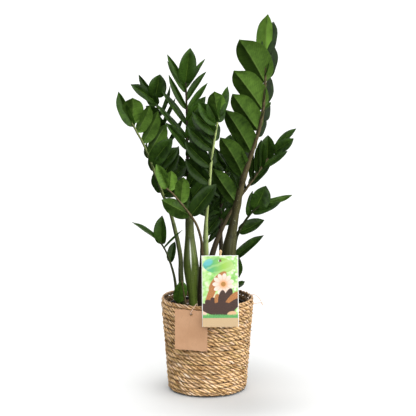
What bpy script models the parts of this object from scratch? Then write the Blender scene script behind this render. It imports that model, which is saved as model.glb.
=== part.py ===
"""ZZ plant in a woven basket: nursery pot, soil, rhizomes, compound leaves and two hang tags.

Metres, +Z up, the base of the basket on Z = 0 and the basket's axis on Z; the tags hang at -Y.
"""

import math
import random
from collections import namedtuple

import bmesh
import bpy
from mathutils import Vector

MM = 0.001
GAP = 0.3 * MM            # clearance between pieces that touch or fit round each other
UP = Vector((0, 0, 1))

# Basket: one seagrass rope coiled into a tapered round basket
BASKET_HEIGHT = 187 * MM
BASKET_BASE_RADIUS = 78 * MM
BASKET_RIM_RADIUS = 92.5 * MM
ROPE_THICKNESS = 8 * MM
BASKET_FLOOR = 8 * MM
BASKET_SIDES = 32
STRING_HOLE_RADIUS = 2 * MM

# Liner and nursery pot inside it
LINER_THICKNESS = 0.6 * MM
LINER_HEIGHT = 166 * MM
POT_THICKNESS = 1.4 * MM
POT_HEIGHT = 161 * MM
POT_BASE_RADIUS = 61 * MM
POT_MOUTH_RADIUS = 79 * MM
POT_RIM_DEPTH = 12 * MM
POT_RIM_STEP = 2 * MM
DRAIN_HOLES = 6
DRAIN_HOLE_RADIUS = 5 * MM

# Soil
SOIL_DEPTH_BELOW_POT_RIM = 5 * MM
SOIL_MOUND = 6 * MM

# Plant
STEM_SIDES = 6
STEM_STEPS = 2            # rings of a stem between two of its path points
PETIOLULE = 2.2 * MM      # width of the short stalk that joins a leaflet to its rachis
BLADE_THICKNESS = 1.2 * MM
BLADE_OUTLINE = ((0, 0), (0.3, 0.92), (0.66, 0.9), (1, 0))   # (along, fullness)
BLADE_ARCH = 0.10         # how far a leaflet's tip bows back, as a share of its length
BLADE_FOLD = 0.45         # how far its edges rise above the midrib, as a share of its half width
BLADE_TIP = 0.8 * MM
LEAF_SEED = 11
BURIED_MARGIN = 30 * MM   # how far above the pot the soil is kept clear of each stem
FOOT_ROOM = 2 * MM        # how far below each stem's foot

# Tags
CARE_TAG_WIDTH = 69.6 * MM
CARE_TAG_HEIGHT = 137 * MM
KRAFT_TAG_WIDTH = 66 * MM
KRAFT_TAG_HEIGHT = 79 * MM
CARD_THICKNESS = 0.6 * MM
TAG_HOLE_RADIUS = 3 * MM


# ---------------------------------------------------------------- helpers

def clear_scene():
    for thing in list(bpy.data.objects):
        bpy.data.objects.remove(thing, do_unlink=True)


def finish(name, colour, roughness, metallic=0.0):
    material = bpy.data.materials.new(name)
    material.use_nodes = True
    shader = material.node_tree.nodes["Principled BSDF"]
    shader.inputs["Base Color"].default_value = (*colour, 1)
    shader.inputs["Roughness"].default_value = roughness
    shader.inputs["Metallic"].default_value = metallic
    return material


def add_object(name, mesh_maker, material=None):
    """Turn a bmesh into a named object with its faces pointing out."""
    bmesh.ops.recalc_face_normals(mesh_maker, faces=mesh_maker.faces)
    mesh = bpy.data.meshes.new(name)
    mesh_maker.to_mesh(mesh)
    mesh_maker.free()
    thing = bpy.data.objects.new(name, mesh)
    bpy.context.scene.collection.objects.link(thing)
    if material:
        mesh.materials.append(material)
        mesh.shade_smooth()
        mesh.set_sharp_from_angle(angle=math.radians(40))
    return thing


def boolean(target, tool, operation):
    """Join or cut target with tool, which becomes a hidden guide."""
    modifier = target.modifiers.new(operation.lower(), "BOOLEAN")
    modifier.operation = operation
    modifier.object = tool
    tool.hide_render = True
    tool.display_type = "WIRE"
    return modifier


def add_rings(maker, rings):
    """Skin a closed solid over rings that all have the same number of points."""
    loops = [[maker.verts.new(point) for point in ring] for ring in rings]
    for below, above in zip(loops, loops[1:]):
        count = len(below)
        for side in range(count):
            after = (side + 1) % count
            maker.faces.new((below[side], below[after], above[after], above[side]))
    maker.faces.new(list(reversed(loops[0])))
    maker.faces.new(loops[-1])


def turned(name, profile, sides, material):
    """Turn an outline of (radius, height) points; its first and last points lie on the axis."""
    maker = bmesh.new()
    (_, bottom), *wall, (_, top) = profile
    rings = []
    for radius, height in wall:
        ring = []
        for side in range(sides):
            angle = math.tau * side / sides
            ring.append(maker.verts.new((radius * math.cos(angle), radius * math.sin(angle), height)))
        rings.append(ring)
    for below, above in zip(rings, rings[1:]):
        for side in range(sides):
            after = (side + 1) % sides
            maker.faces.new((below[side], below[after], above[after], above[side]))
    for ring, height in ((rings[0], bottom), (rings[-1], top)):
        centre = maker.verts.new((0, 0, height))
        for side in range(sides):
            maker.faces.new((ring[side], ring[(side + 1) % sides], centre))
    return add_object(name, maker, material)


def smooth_path(points, steps):
    """Points on a Catmull-Rom curve through points, at even steps between each pair."""
    ends = [points[0] * 2 - points[1], *points, points[-1] * 2 - points[-2]]
    curve = []
    for a, b, c, d in zip(ends, ends[1:], ends[2:], ends[3:]):
        for step in range(steps):
            t = step / steps
            curve.append(
                0.5 * (2 * b + (c - a) * t + (2 * a - 5 * b + 4 * c - d) * t * t
                       + (3 * b - a - 3 * c + d) * t * t * t)
            )
    curve.append(points[-1].copy())
    return curve


def tube_rings(curve, radii, sides):
    """Rings square to a curve, turned as little as possible from one to the next."""
    rings = []
    across = Vector((1, 0, 0))
    for index, point in enumerate(curve):
        before = curve[max(index - 1, 0)]
        after = curve[min(index + 1, len(curve) - 1)]
        along = (after - before).normalized()
        across = (across - along * across.dot(along)).normalized()
        other = along.cross(across)
        rings.append([
            point + radii[index] * (across * math.cos(a) + other * math.sin(a))
            for a in (math.tau * side / sides for side in range(sides))
        ])
    return rings


def at_height(curve, values, height):
    """Where a rising curve passes a height: point, direction and value there."""
    for index in range(len(curve) - 1):
        low, high = curve[index], curve[index + 1]
        if low.z <= height <= high.z:
            share = (height - low.z) / (high.z - low.z)
            point = low.lerp(high, share)
            value = values[index] * (1 - share) + values[index + 1] * share
            return point, (high - low).normalized(), value
    return curve[-1], (curve[-1] - curve[-2]).normalized(), values[-1]


# ---------------------------------------------------------------- basket, liner, pot and soil

def outer_radius(height):
    """Outer radius of the basket's wall at a height."""
    share = min(max(height / BASKET_HEIGHT, 0), 1)
    return BASKET_BASE_RADIUS + (BASKET_RIM_RADIUS - BASKET_BASE_RADIUS) * share


def inner_radius(height):
    return outer_radius(height) - ROPE_THICKNESS


def make_basket():
    """A closed solid of the coiled rope's outer and inner faces, with a rounded foot and rim."""
    foot = ROPE_THICKNESS / 2
    rim = BASKET_HEIGHT - ROPE_THICKNESS / 2
    profile = [(0, 0), (outer_radius(0) - foot, 0)]
    profile += [(outer_radius(foot) - foot * 0.3, foot * 0.3), (outer_radius(foot), foot)]
    profile += [(outer_radius(rim / 2), rim / 2), (outer_radius(rim), rim)]
    profile += [(outer_radius(rim) - foot * 0.3, BASKET_HEIGHT - foot * 0.3)]
    profile += [(outer_radius(rim) - foot, BASKET_HEIGHT)]
    profile += [(inner_radius(rim) + foot * 0.3, BASKET_HEIGHT - foot * 0.3), (inner_radius(rim), rim)]
    profile += [(inner_radius(rim / 2), rim / 2), (inner_radius(BASKET_FLOOR), BASKET_FLOOR)]
    profile += [(0, BASKET_FLOOR)]
    return turned("basket", profile, BASKET_SIDES, finish("seagrass", (0.55, 0.41, 0.22), 0.75))


def make_liner():
    """A thin plastic bag-shaped liner that keeps water off the rope."""
    base = BASKET_FLOOR + GAP
    outside = [(inner_radius(z) - GAP * 2, z) for z in (base, LINER_HEIGHT)]
    inside = [(r - LINER_THICKNESS, max(z, base + LINER_THICKNESS)) for r, z in reversed(outside)]
    profile = [(0, base), *outside, *inside, (0, base + LINER_THICKNESS)]
    return turned("liner", profile, BASKET_SIDES, finish("liner_film", (0.10, 0.10, 0.10), 0.35))


POT_FLOOR = BASKET_FLOOR + GAP + LINER_THICKNESS + GAP
POT_TOP = POT_FLOOR + POT_HEIGHT
SOIL_EDGE = POT_TOP - SOIL_DEPTH_BELOW_POT_RIM
SOIL_BASE = POT_FLOOR + POT_THICKNESS + GAP


def pot_radius(height):
    """Outer radius of the nursery pot's wall below its stepped rim."""
    share = (height - POT_FLOOR) / POT_HEIGHT
    return POT_BASE_RADIUS + (POT_MOUTH_RADIUS - POT_RIM_STEP - POT_BASE_RADIUS) * share


def make_pot():
    """The black nursery pot: tapered wall, stepped rim and a ring of drain holes in its floor."""
    step = POT_TOP - POT_RIM_DEPTH
    profile = [(0, POT_FLOOR), (POT_BASE_RADIUS, POT_FLOOR), (pot_radius(step), step)]
    profile += [(POT_MOUTH_RADIUS, step), (POT_MOUTH_RADIUS, POT_TOP)]
    profile += [(POT_MOUTH_RADIUS - POT_THICKNESS, POT_TOP)]
    profile += [(POT_MOUTH_RADIUS - POT_THICKNESS, step + POT_THICKNESS)]
    profile += [(pot_radius(step) - POT_THICKNESS, step + POT_THICKNESS)]
    profile += [(POT_BASE_RADIUS - POT_THICKNESS, POT_FLOOR + POT_THICKNESS)]
    profile += [(0, POT_FLOOR + POT_THICKNESS)]
    pot = turned("nursery_pot", profile, BASKET_SIDES, finish("pot_plastic", (0.03, 0.03, 0.03), 0.5))
    drills = bmesh.new()
    for hole in range(DRAIN_HOLES):
        angle = math.tau * hole / DRAIN_HOLES
        centre = Vector((math.cos(angle), math.sin(angle), 0)) * POT_BASE_RADIUS * 0.62
        rings = [
            [centre + Vector((math.cos(a), math.sin(a), 0)) * DRAIN_HOLE_RADIUS + UP * z
             for a in (math.tau * side / 8 for side in range(8))]
            for z in (POT_FLOOR - POT_THICKNESS, POT_FLOOR + 2 * POT_THICKNESS)
        ]
        add_rings(drills, rings)
    boolean(pot, add_object("drain_drills", drills), "DIFFERENCE")
    return pot


def make_soil():
    """Potting mix that fills the pot, a little mounded round the stems."""
    step = POT_TOP - POT_RIM_DEPTH
    room = POT_THICKNESS + GAP
    profile = [(0, SOIL_BASE), (POT_BASE_RADIUS - room, SOIL_BASE)]
    profile += [(pot_radius(step) - room, step + room), (POT_MOUTH_RADIUS - room, step + room)]
    profile += [(POT_MOUTH_RADIUS - room, SOIL_EDGE)]
    profile += [(POT_MOUTH_RADIUS * 0.6, SOIL_EDGE + SOIL_MOUND * 0.8), (0, SOIL_EDGE + SOIL_MOUND)]
    return turned("soil", profile, BASKET_SIDES, finish("potting_mix", (0.06, 0.04, 0.03), 0.95))


# ---------------------------------------------------------------- rhizomes

# Each rhizome: centre and half sizes in millimetres, and the bearings of its roots in degrees
RHIZOMES = {
    "rhizome_right": ((36, 10, 108), (22, 20, 18), (-40, 100, 200)),
    "rhizome_middle": ((-12, -38, 107), (22, 20, 19), (-30, 60, 150)),
    "rhizome_back": ((-6, 30, 108), (22, 18, 17), (90, 190)),
    "rhizome_left": ((-50, -20, 109), (13, 20, 15), (20, 100, -60)),
}
ROOT_RADIUS = 2.5 * MM
ROOT_SIDES = 5
ROOT_ROUTE = ((7, -5), (17, -16), (21, -40), (17, -64))   # (out, up) from the rhizome's centre, mm


def tuber_solid(name, rhizome, spread, material=None):
    """A potato-like tuber, grown outwards by spread."""
    centre, half, _ = RHIZOMES[rhizome]
    maker = bmesh.new()
    bmesh.ops.create_icosphere(maker, subdivisions=2, radius=1)
    for vert in maker.verts:
        vert.co = Vector([c * MM + v * (h * MM + spread) for c, v, h in zip(centre, vert.co, half)])
    return add_object(name, maker, material)


def rhizome_solid(name, rhizome, spread, material=None):
    """A tuber with its fleshy roots, grown outwards by spread."""
    tuber = tuber_solid(name, rhizome, spread, material)
    centre, _, bearings = RHIZOMES[rhizome]
    roots = bmesh.new()
    for bearing in bearings:
        angle = math.radians(bearing)
        out = Vector((math.cos(angle), math.sin(angle), 0))
        curve = [Vector(centre) * MM + out * r * MM + UP * z * MM for r, z in ROOT_ROUTE]
        curve[-1] -= UP * spread
        radii = [ROOT_RADIUS * share + spread for share in (1, 1, 0.8, 0.4)]
        add_rings(roots, tube_rings(curve, radii, ROOT_SIDES))
    boolean(tuber, add_object(name + "_roots", roots), "UNION").use_self = True
    return tuber


# ---------------------------------------------------------------- compound leaves

# Each compound leaf rises from a rhizome as one swollen petiole and carries its leaflets on the
# rachis above it. Lengths are in millimetres, angles in degrees; a face is the way a leaflet's
# upper side looks.
#   Leaf    path: points of its stem from the rhizome up; girth: (height, radius) along it
#   Row     leaflets on one side: heights of the first and last, how many, bearing seen from above,
#           angle from the rachis, length and width, each from the first to the last
#   Single  one leaflet: height on the stem, direction, length, width
#   Top     the leaflet that ends the rachis: direction, length, width
Leaf = namedtuple("Leaf", "path girth rows single top")
Row = namedtuple("Row", "heights count bearing spread length width face")
Single = namedtuple("Single", "height towards length width face")
Top = namedtuple("Top", "towards length width face")

LEAVES = {
    "leaf_tall_right": Leaf(
        path=[(38, 6, 124), (41, 2, 187), (43, 0, 280), (60, 0, 379), (69, -2, 419), (81, -4, 458),
              (94, -6, 498), (106, -8, 547), (111, -10, 605), (111, -12, 664)],
        girth=[(124, 12), (187, 14), (285, 13.5), (320, 9.5), (360, 7.2), (410, 5.8), (500, 3.6),
               (600, 2.6), (662, 2.2)],
        rows=[],
        single=[
            Single(371, (-0.51, -0.09, 0.85), 89, 36, (0.34, 1, 0.05)),
            Single(397, (-0.38, 0.21, 0.9), 87, 30, (0.8, -0.4, 0.3)),
            Single(425, (-0.43, -0.26, 0.87), 102, 43, (0.34, 1, 0.05)),
            Single(446, (-0.34, 0.21, 0.92), 86, 34, (0.8, -0.4, 0.3)),
            Single(473, (-0.47, -0.24, 0.85), 108, 46, (0.34, 1, 0.05)),
            Single(505, (0.27, 0.45, 0.85), 58, 26, (1, -0.35, 0.3)),
            Single(517, (-0.52, -0.27, 0.81), 97, 47, (0.34, 1, 0.05)),
            Single(536, (0.28, 0.51, 0.82), 55, 28, (1, -0.35, 0.3)),
            Single(558, (-0.54, -0.25, 0.8), 103, 53, (0.34, 1, 0.05)),
            Single(558, (0.72, 0.35, 0.6), 23, 9, (0.2, -0.9, 0.3)),
            Single(570, (0.23, 0.44, 0.87), 64, 30, (1, -0.35, 0.3)),
            Single(611, (-0.47, -0.25, 0.84), 104, 61, (0.34, 1, 0.05)),
            Single(620, (0.3, 0.36, 0.88), 72, 32, (1, -0.4, 0.3)),
            Single(664, (0.27, 0.41, 0.87), 73, 30, (0.35, -1, 0.1)),
        ],
        top=Top((0.02, -0.02, 1), 81, 33, (-0.35, 1, 0)),
    ),
    "leaf_center_pale": Leaf(
        path=[(2, -36, 124), (-1, -46, 190), (-3, -52, 281), (-3, -54, 339), (4, -58, 421), (7, -61, 462),
              (13, -63, 503), (21, -66, 551)],
        girth=[(124, 6.5), (200, 6.5), (290, 5.4), (380, 2.9), (538, 1.8)],
        rows=[],
        single=[
            Single(421, (-0.71, 0.15, 0.69), 67, 26, (-0.5, -1, 0.6)),
            Single(444, (-0.49, 0.32, 0.81), 81, 24, (0.3, -1, 0.2)),
            Single(454, (-0.72, 0.14, 0.68), 70, 26, (-0.5, -1, 0.6)),
            Single(460, (0.29, 0.64, 0.71), 40, 20, (1, -0.3, 0.2)),
            Single(486, (-0.73, 0.15, 0.67), 68, 26, (-0.5, -1, 0.6)),
            Single(499, (-0.57, 0.38, 0.73), 74, 24, (0.3, -1, 0.2)),
            Single(505, (0.25, 0.61, 0.75), 43, 18, (1, -0.3, 0.2)),
            Single(517, (-0.72, 0.16, 0.67), 63, 26, (-0.5, -1, 0.6)),
            Single(536, (-0.66, 0.07, 0.75), 55, 26, (-0.5, -1, 0.5)),
            Single(539, (-0.47, -0.22, 0.86), 45, 20, (-0.7, -1, 0.3)),
            Single(541, (0.39, 0.51, 0.76), 39, 18, (1, -0.4, 0.2)),
            Single(551, (0.33, 0.13, 0.93), 60, 20, (0.4, -0.9, 0)),
        ],
        top=Top((-0.13, -0.11, 0.99), 53, 35, (0.1, 1, 0)),
    ),
    "leaf_far_left": Leaf(
        path=[(-48, -14, 124), (-50, -24, 186), (-52, -30, 234), (-54, -31, 281), (-71, -34, 357),
              (-88, -36, 400), (-104, -38, 445), (-121, -40, 490), (-136, -42, 519), (-145, -43, 536)],
        girth=[(124, 6), (200, 5.5), (290, 4.4), (400, 2.8), (536, 1.8)],
        rows=[],
        single=[
            Single(396, (0.89, -0.07, 0.45), 57, 28, (0.2, -1, 0.5)),
            Single(400, (-0.4, 0.34, 0.85), 47, 24, (-1, -0.3, 0.2)),
            Single(404, (0.71, 0.17, 0.68), 70, 30, (0.2, -1, 0.4)),
            Single(413, (0.45, 0.05, 0.89), 85, 30, (0.3, -1, 0.4)),
            Single(443, (-0.32, 0.42, 0.85), 38, 18, (-1, -0.3, 0.2)),
            Single(445, (0.74, 0, 0.67), 65, 28, (0.2, -1, 0.4)),
            Single(454, (0.6, -0.12, 0.79), 65, 32, (0.2, -1, 0.4)),
            Single(468, (-0.26, 0.45, 0.85), 35, 18, (-1, -0.3, 0.2)),
            Single(473, (0.52, -0.03, 0.85), 71, 30, (0.35, 1, -0.2)),
            Single(497, (0.47, -0.06, 0.88), 71, 27, (0.35, 1, -0.2)),
            Single(518, (0.48, -0.07, 0.88), 59, 26, (0.35, 1, -0.2)),
            Single(529, (-0.44, 0.14, 0.89), 74, 24, (-0.3, -1, 0.1)),
        ],
        top=Top((0.03, -0.11, 0.99), 53, 41, (0, 1, -0.1)),
    ),
    "leaf_back_center": Leaf(
        path=[(-22, -36, 124), (-28, -40, 187), (-32, -42, 246), (-34, -36, 303), (-36, -14, 360),
              (-38, 6, 419), (-40, 24, 490), (-41, 34, 560), (-43, 36, 606)],
        girth=[(124, 7), (187, 8.2), (258, 14.4), (328, 8.5), (400, 3), (606, 1.7)],
        rows=[],
        single=[
            Single(374, (-0.45, -0.16, 0.88), 63, 28, (-0.2, -1, 0.2)),
            Single(380, (0.63, -0.15, 0.76), 54, 30, (0.1, -1, 0.3)),
            Single(406, (0.52, -0.13, 0.84), 63, 30, (0.2, -1, 0.2)),
            Single(426, (-0.55, -0.1, 0.83), 63, 26, (0.2, -1, 0.3)),
            Single(432, (0.48, -0.09, 0.87), 65, 28, (0.2, -1, 0.2)),
            Single(461, (0.5, -0.07, 0.86), 61, 24, (0.2, -1, 0.2)),
            Single(476, (-0.6, -0.09, 0.8), 69, 16, (0.3, -1, 0.2)),
            Single(494, (0.44, 0, 0.9), 71, 24, (0.2, -1, 0.2)),
            Single(497, (-0.61, 0.04, 0.79), 92, 13, (0.6, -0.8, 0.2)),
            Single(523, (-0.55, 0.05, 0.84), 84, 14, (0.6, -0.8, 0.2)),
            Single(527, (0.59, 0.06, 0.81), 64, 22, (0.2, -1, 0.2)),
            Single(548, (0.55, 0.09, 0.83), 71, 13, (-0.5, -1, 0.2)),
            Single(554, (-0.48, 0.05, 0.88), 76, 13, (-0.3, -1, 0.2)),
            Single(571, (0.54, 0.09, 0.84), 69, 14, (-0.5, -1, 0.2)),
            Single(587, (-0.54, 0.06, 0.84), 71, 14, (-0.3, -1, 0.2)),
            Single(595, (0.49, 0.09, 0.87), 69, 13, (-0.6, -0.9, 0.2)),
            Single(602, (-0.54, 0.03, 0.84), 69, 14, (-0.3, -1, 0.2)),
        ],
        top=Top((0.13, -0.09, 0.99), 70, 34, (0, -1, 0.15)),
    ),
    "leaf_back_left": Leaf(
        path=[(-10, 32, 124), (-18, 40, 187), (-30, 50, 280), (-47, 60, 380), (-70, 70, 460),
              (-94, 78, 530), (-104, 82, 574)],
        girth=[(124, 8), (187, 9), (260, 7), (400, 3), (574, 1.8)],
        rows=[],
        single=[
            Single(483, (0.54, 0, 0.84), 57, 10, (0.5, -0.8, 0.2)),
            Single(501, (-0.56, -0.08, 0.82), 53, 22, (-0.3, -1, 0.3)),
            Single(518, (0.48, 0, 0.88), 59, 10, (0.6, -0.8, 0.2)),
            Single(535, (-0.77, -0.12, 0.63), 34, 20, (-0.2, -1, 0.5)),
            Single(535, (0.4, 0, 0.92), 63, 10, (0.6, -0.8, 0.2)),
            Single(556, (-0.54, 0, 0.84), 33, 24, (-0.3, -1, 0.3)),
            Single(562, (-0.78, -0.1, 0.62), 62, 24, (0.1, -1, 0.5)),
            Single(566, (-0.56, 0.22, 0.8), 64, 14, (-0.2, -1, 0.2)),
        ],
        top=Top((0.21, -0.17, 0.96), 47, 36, (0.1, -1, 0.05)),
    ),
    "leaf_right_middle": Leaf(
        path=[(4, 26, 124), (6, 30, 187), (6, 36, 243), (15, 42, 280), (31, 50, 318), (50, 58, 352),
              (72, 66, 384), (93, 72, 412), (114, 78, 442), (137, 82, 470)],
        girth=[(124, 7), (187, 8), (250, 6), (380, 2.6), (470, 1.7)],
        rows=[],
        single=[
            Single(390, (-0.24, -0.06, 0.97), 66, 16, (-0.6, -0.8, 0.1)),
            Single(398, (0.74, 0.18, 0.65), 57, 18, (0.4, -0.8, 0.6)),
            Single(408, (-0.05, -0.07, 1), 61, 16, (-0.7, -0.8, 0.1)),
            Single(421, (-0.01, -0.07, 1), 60, 16, (-0.7, -0.8, 0.1)),
            Single(432, (-0.04, -0.07, 1), 56, 22, (-0.4, -1, 0.1)),
            Single(432, (0.83, 0.16, 0.53), 64, 17, (0.4, -0.8, 0.6)),
            Single(449, (-0, -0.08, 1), 48, 30, (-0.2, -1, 0.1)),
            Single(462, (0.8, -0.12, 0.59), 50, 24, (0.2, -0.9, 0.5)),
        ],
        top=Top((0.69, 0.1, 0.72), 59, 16, (-0.2, -1, 0.3)),
    ),
    "leaf_right_low": Leaf(
        path=[(45, 24, 122), (51, 32, 187), (53, 31, 255), (58, 28, 300), (72, 22, 330), (88, 18, 352),
              (104, 14, 366), (119, 12, 376)],
        girth=[(122, 4), (187, 4), (300, 2.8), (376, 1.6)],
        rows=[],
        single=[
            Single(197, (0.82, 0.47, 0.34), 30, 12, (0.2, -1, 0.3)),
            Single(255, (0.74, -0.05, 0.67), 75, 20, (-0.3, -1, 0.5)),
            Single(263, (0.26, -0.08, -0.96), 47, 16, (0.5, -0.8, 0)),
            Single(310, (0.87, -0.07, 0.49), 56, 27, (-0.1, -1, 0.6)),
            Single(343, (0.09, 0, 1), 51, 15, (-0.6, -0.8, 0)),
            Single(352, (0.91, -0.17, 0.39), 59, 26, (0.1, -1, 0.5)),
            Single(358, (0.41, -0.08, 0.91), 51, 38, (0.1, -1, 0.15)),
        ],
        top=Top((0.97, 0.16, 0.2), 51, 12, (-0.1, 1, -0.4)),
    ),
    "leaf_back_middle": Leaf(
        path=[(27, 24, 120), (30, 34, 187), (28, 56, 260), (26, 66, 320), (32, 76, 390), (40, 82, 440)],
        girth=[(120, 6), (187, 6), (320, 4), (440, 1.8)],
        rows=[
            Row((326, 425), 4, 178, (46, 42), (76, 60), (32, 28), (-0.2, -1, 0.3)),
            Row((320, 418), 4, 20, (42, 38), (56, 50), (30, 26), (0.5, -1, 0.3)),
        ],
        single=[
            Single(323, (-0.47, -0.29, -0.83), 48, 14, (0.4, -1, 0.2)),
            Single(337, (-0.6, -0.34, -0.72), 59, 20, (0.2, -1, 0.2)),
            Single(356, (-0.92, -0.21, -0.31), 47, 26, (0.2, -1, 0.4)),
            Single(374, (-0.41, -0.15, -0.9), 66, 28, (0.4, -1, 0.5)),
            Single(377, (-0.66, 0.21, 0.72), 28, 24, (0, -1, 0.4)),
        ],
        top=Top((0.1, 0, 1), 60, 34, (0, -1, 0.2)),
    ),
    "leaf_front_brown": Leaf(
        path=[(-9, -54, 120), (-14, -53, 188), (-11, -66, 269), (-11, -74, 290), (-12, -84, 315),
              (-20, -90, 344), (-32, -95, 365), (-50, -99, 389), (-65, -102, 407), (-78, -104, 419)],
        girth=[(120, 5), (187, 5), (260, 4.4), (320, 2.6), (408, 1.8)],
        rows=[],
        single=[
            Single(365, (0.61, 0.05, 0.79), 77, 32, (-0.1, -1, 0.35)),
            Single(366, (-0.88, -0.06, 0.47), 63, 32, (0.15, 1, -0.5)),
            Single(368, (-0.11, 0.21, 0.97), 38, 9, (-0.6, -0.8, 0)),
            Single(389, (0.1, -0.11, 0.99), 54, 29, (0.05, 1, 0)),
            Single(414, (0.11, 0.16, 0.98), 38, 27, (0, 1, 0.1)),
        ],
        top=Top((-0.42, 0.08, 0.9), 51, 22, (-0.3, -1, 0.4)),
    ),
    "leaf_left_sprout": Leaf(
        path=[(-54, -30, 122), (-60, -42, 192), (-64, -46, 232), (-72, -50, 264), (-82, -52, 290),
              (-93, -54, 308)],
        girth=[(122, 3.4), (192, 3), (308, 1.5)],
        rows=[],
        single=[
            Single(265, (0.18, 0.1, 0.98), 41, 17, (-0.3, -1, 0)),
            Single(294, (0.64, -0.08, 0.76), 50, 7, (-0.5, -0.5, 0.7)),
            Single(301, (-0.02, -0.11, 0.99), 56, 26, (-0.25, -1, 0.05)),
        ],
        top=Top((-0.74, -0.03, 0.67), 65, 14, (0.5, -0.5, 0.8)),
    ),
    "leaf_front_small": Leaf(
        path=[(-26, -48, 112), (-37, -52, 150), (-43, -54, 187), (-46, -56, 208), (-50, -56, 230)],
        girth=[(112, 2.2), (190, 1.8), (230, 1.4)],
        rows=[],
        single=[],
        top=Top((-0.14, 0.16, -1), 48, 26, (0.2, -1, 0)),
    ),
}


def blade_rings(base, along, normal, length, width, stalk):
    """Rings of a pointed, slightly folded and arched leaflet, from its stalk to its tip."""
    sideways = along.cross(normal).normalized()
    rings = []
    for share, fullness in BLADE_OUTLINE:
        centre = base + along * length * share - normal * BLADE_ARCH * length * share * share
        half = max(width * fullness, stalk if share < 0.5 else BLADE_TIP) / 2
        thick = stalk / 2 if share == 0 else BLADE_THICKNESS / 2
        lift = half * BLADE_FOLD if fullness else 0
        rings.append([
            centre - sideways * half + normal * lift,
            centre - normal * thick,
            centre + sideways * half + normal * lift,
            centre + normal * thick,
        ])
    return rings


def add_leaflet(maker, base, towards, face, length, width, stalk):
    along = Vector(towards).normalized()
    face = Vector(face)
    normal = (face - along * face.dot(along)).normalized()
    add_rings(maker, blade_rings(base, along, normal, length, width, stalk))


def girth_at(girth, height):
    for (low, start), (high, end) in zip(girth, girth[1:]):
        if height <= high:
            share = max((height - low) / (high - low), 0)
            share = share * share * (3 - 2 * share)
            return start + (end - start) * share
    return girth[-1][1]


def stem_curve(leaf):
    curve = smooth_path([Vector(point) * MM for point in leaf.path], STEM_STEPS)
    return curve, [girth_at(leaf.girth, point.z / MM) * MM for point in curve]


def between(pair, share):
    return pair[0] + (pair[1] - pair[0]) * share


def add_row(maker, curve, radii, row, chance):
    """Leaflets at even heights along one side of a rachis."""
    for index in range(row.count):
        share = index / max(row.count - 1, 1)
        point, along, radius = at_height(curve, radii, between(row.heights, share) * MM)
        bearing = math.radians(row.bearing + chance.uniform(-4, 4))
        side = Vector((math.cos(bearing), math.sin(bearing), 0))
        side = (side - along * side.dot(along)).normalized()
        turn = math.radians(between(row.spread, share) + chance.uniform(-3, 3))
        towards = along * math.cos(turn) + side * math.sin(turn)
        length = between(row.length, share) * chance.uniform(0.96, 1.04) * MM
        width = between(row.width, share) * chance.uniform(0.97, 1.03) * MM
        stalk = min(PETIOLULE, radius * 1.1)
        add_leaflet(maker, point + side * radius * 0.3, towards, row.face, length, width, stalk)


def stem_solid(name, leaf, spread, material=None):
    """The stem of a compound leaf, or the room it takes up when grown outwards by spread."""
    curve, radii = stem_curve(leaf)
    rings = tube_rings(curve, [radius + spread for radius in radii], STEM_SIDES)
    if spread:
        rings = [ring for ring, point in zip(rings, curve) if point.z < POT_TOP + BURIED_MARGIN]
        rings.insert(0, [point - (curve[1] - curve[0]).normalized() * FOOT_ROOM for point in rings[0]])
    maker = bmesh.new()
    add_rings(maker, rings)
    return add_object(name, maker, material)


def make_leaf(name, leaf, green):
    """One compound leaf as one solid: its stem joined with all its leaflets."""
    chance = random.Random(LEAF_SEED + len(name))
    curve, radii = stem_curve(leaf)
    stem = stem_solid(name, leaf, 0, green)
    blades = bmesh.new()
    for row in leaf.rows:
        add_row(blades, curve, radii, row, chance)
    for one in leaf.single:
        point, _, radius = at_height(curve, radii, one.height * MM)
        stalk = min(PETIOLULE, radius * 1.1)
        add_leaflet(blades, point, one.towards, one.face, one.length * MM, one.width * MM, stalk)
    along = (curve[-1] - curve[-2]).normalized()
    stalk = min(PETIOLULE, radii[-1] * 1.1)
    top = leaf.top
    add_leaflet(blades, curve[-1] - along * 2 * MM, top.towards, top.face, top.length * MM,
                top.width * MM, stalk)
    boolean(stem, add_object(name + "_leaflets", blades), "UNION").use_self = True
    return stem


# ---------------------------------------------------------------- hang tags

CARE_TAG_PLACE = Vector((25.4, -111, 151)) * MM     # middle of the card's lower front edge
CARE_TAG_LEAN = math.radians(-8)
CARE_TAG_ROLL = math.radians(-0.6)
CARE_TAG_GAPE = 2.4 * MM          # how far the folded card springs open at its left edge
CARE_TAG_OFFSET = 1.5 * MM        # how far the back leaf stands out past the front one
HOLE_BELOW_TOP = 10 * MM
KRAFT_TAG_BEARING = math.radians(-108)
KRAFT_TAG_REACH = 96.5 * MM       # from the basket's axis to the tag's back
KRAFT_TAG_BASE = 100 * MM
KRAFT_TAG_SHIFT = -1.6 * MM


def extruded(name, outline, height, material):
    """A flat outline in X and Y raised to a height."""
    maker = bmesh.new()
    add_rings(maker, [[(x, y, z) for x, y in outline] for z in (0, height)])
    return add_object(name, maker, material)


def punch(card, height):
    """A round hole through a card that stands on edge, square to Y."""
    maker = bmesh.new()
    add_rings(maker, [
        [(TAG_HOLE_RADIUS * math.cos(a), y, height + TAG_HOLE_RADIUS * math.sin(a))
         for a in (math.tau * side / 12 for side in range(12))]
        for y in (-5 * MM, 10 * MM)
    ])
    tool = add_object(card.name + "_punch", maker)
    tool.parent = card
    boolean(card, tool, "DIFFERENCE")


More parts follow.
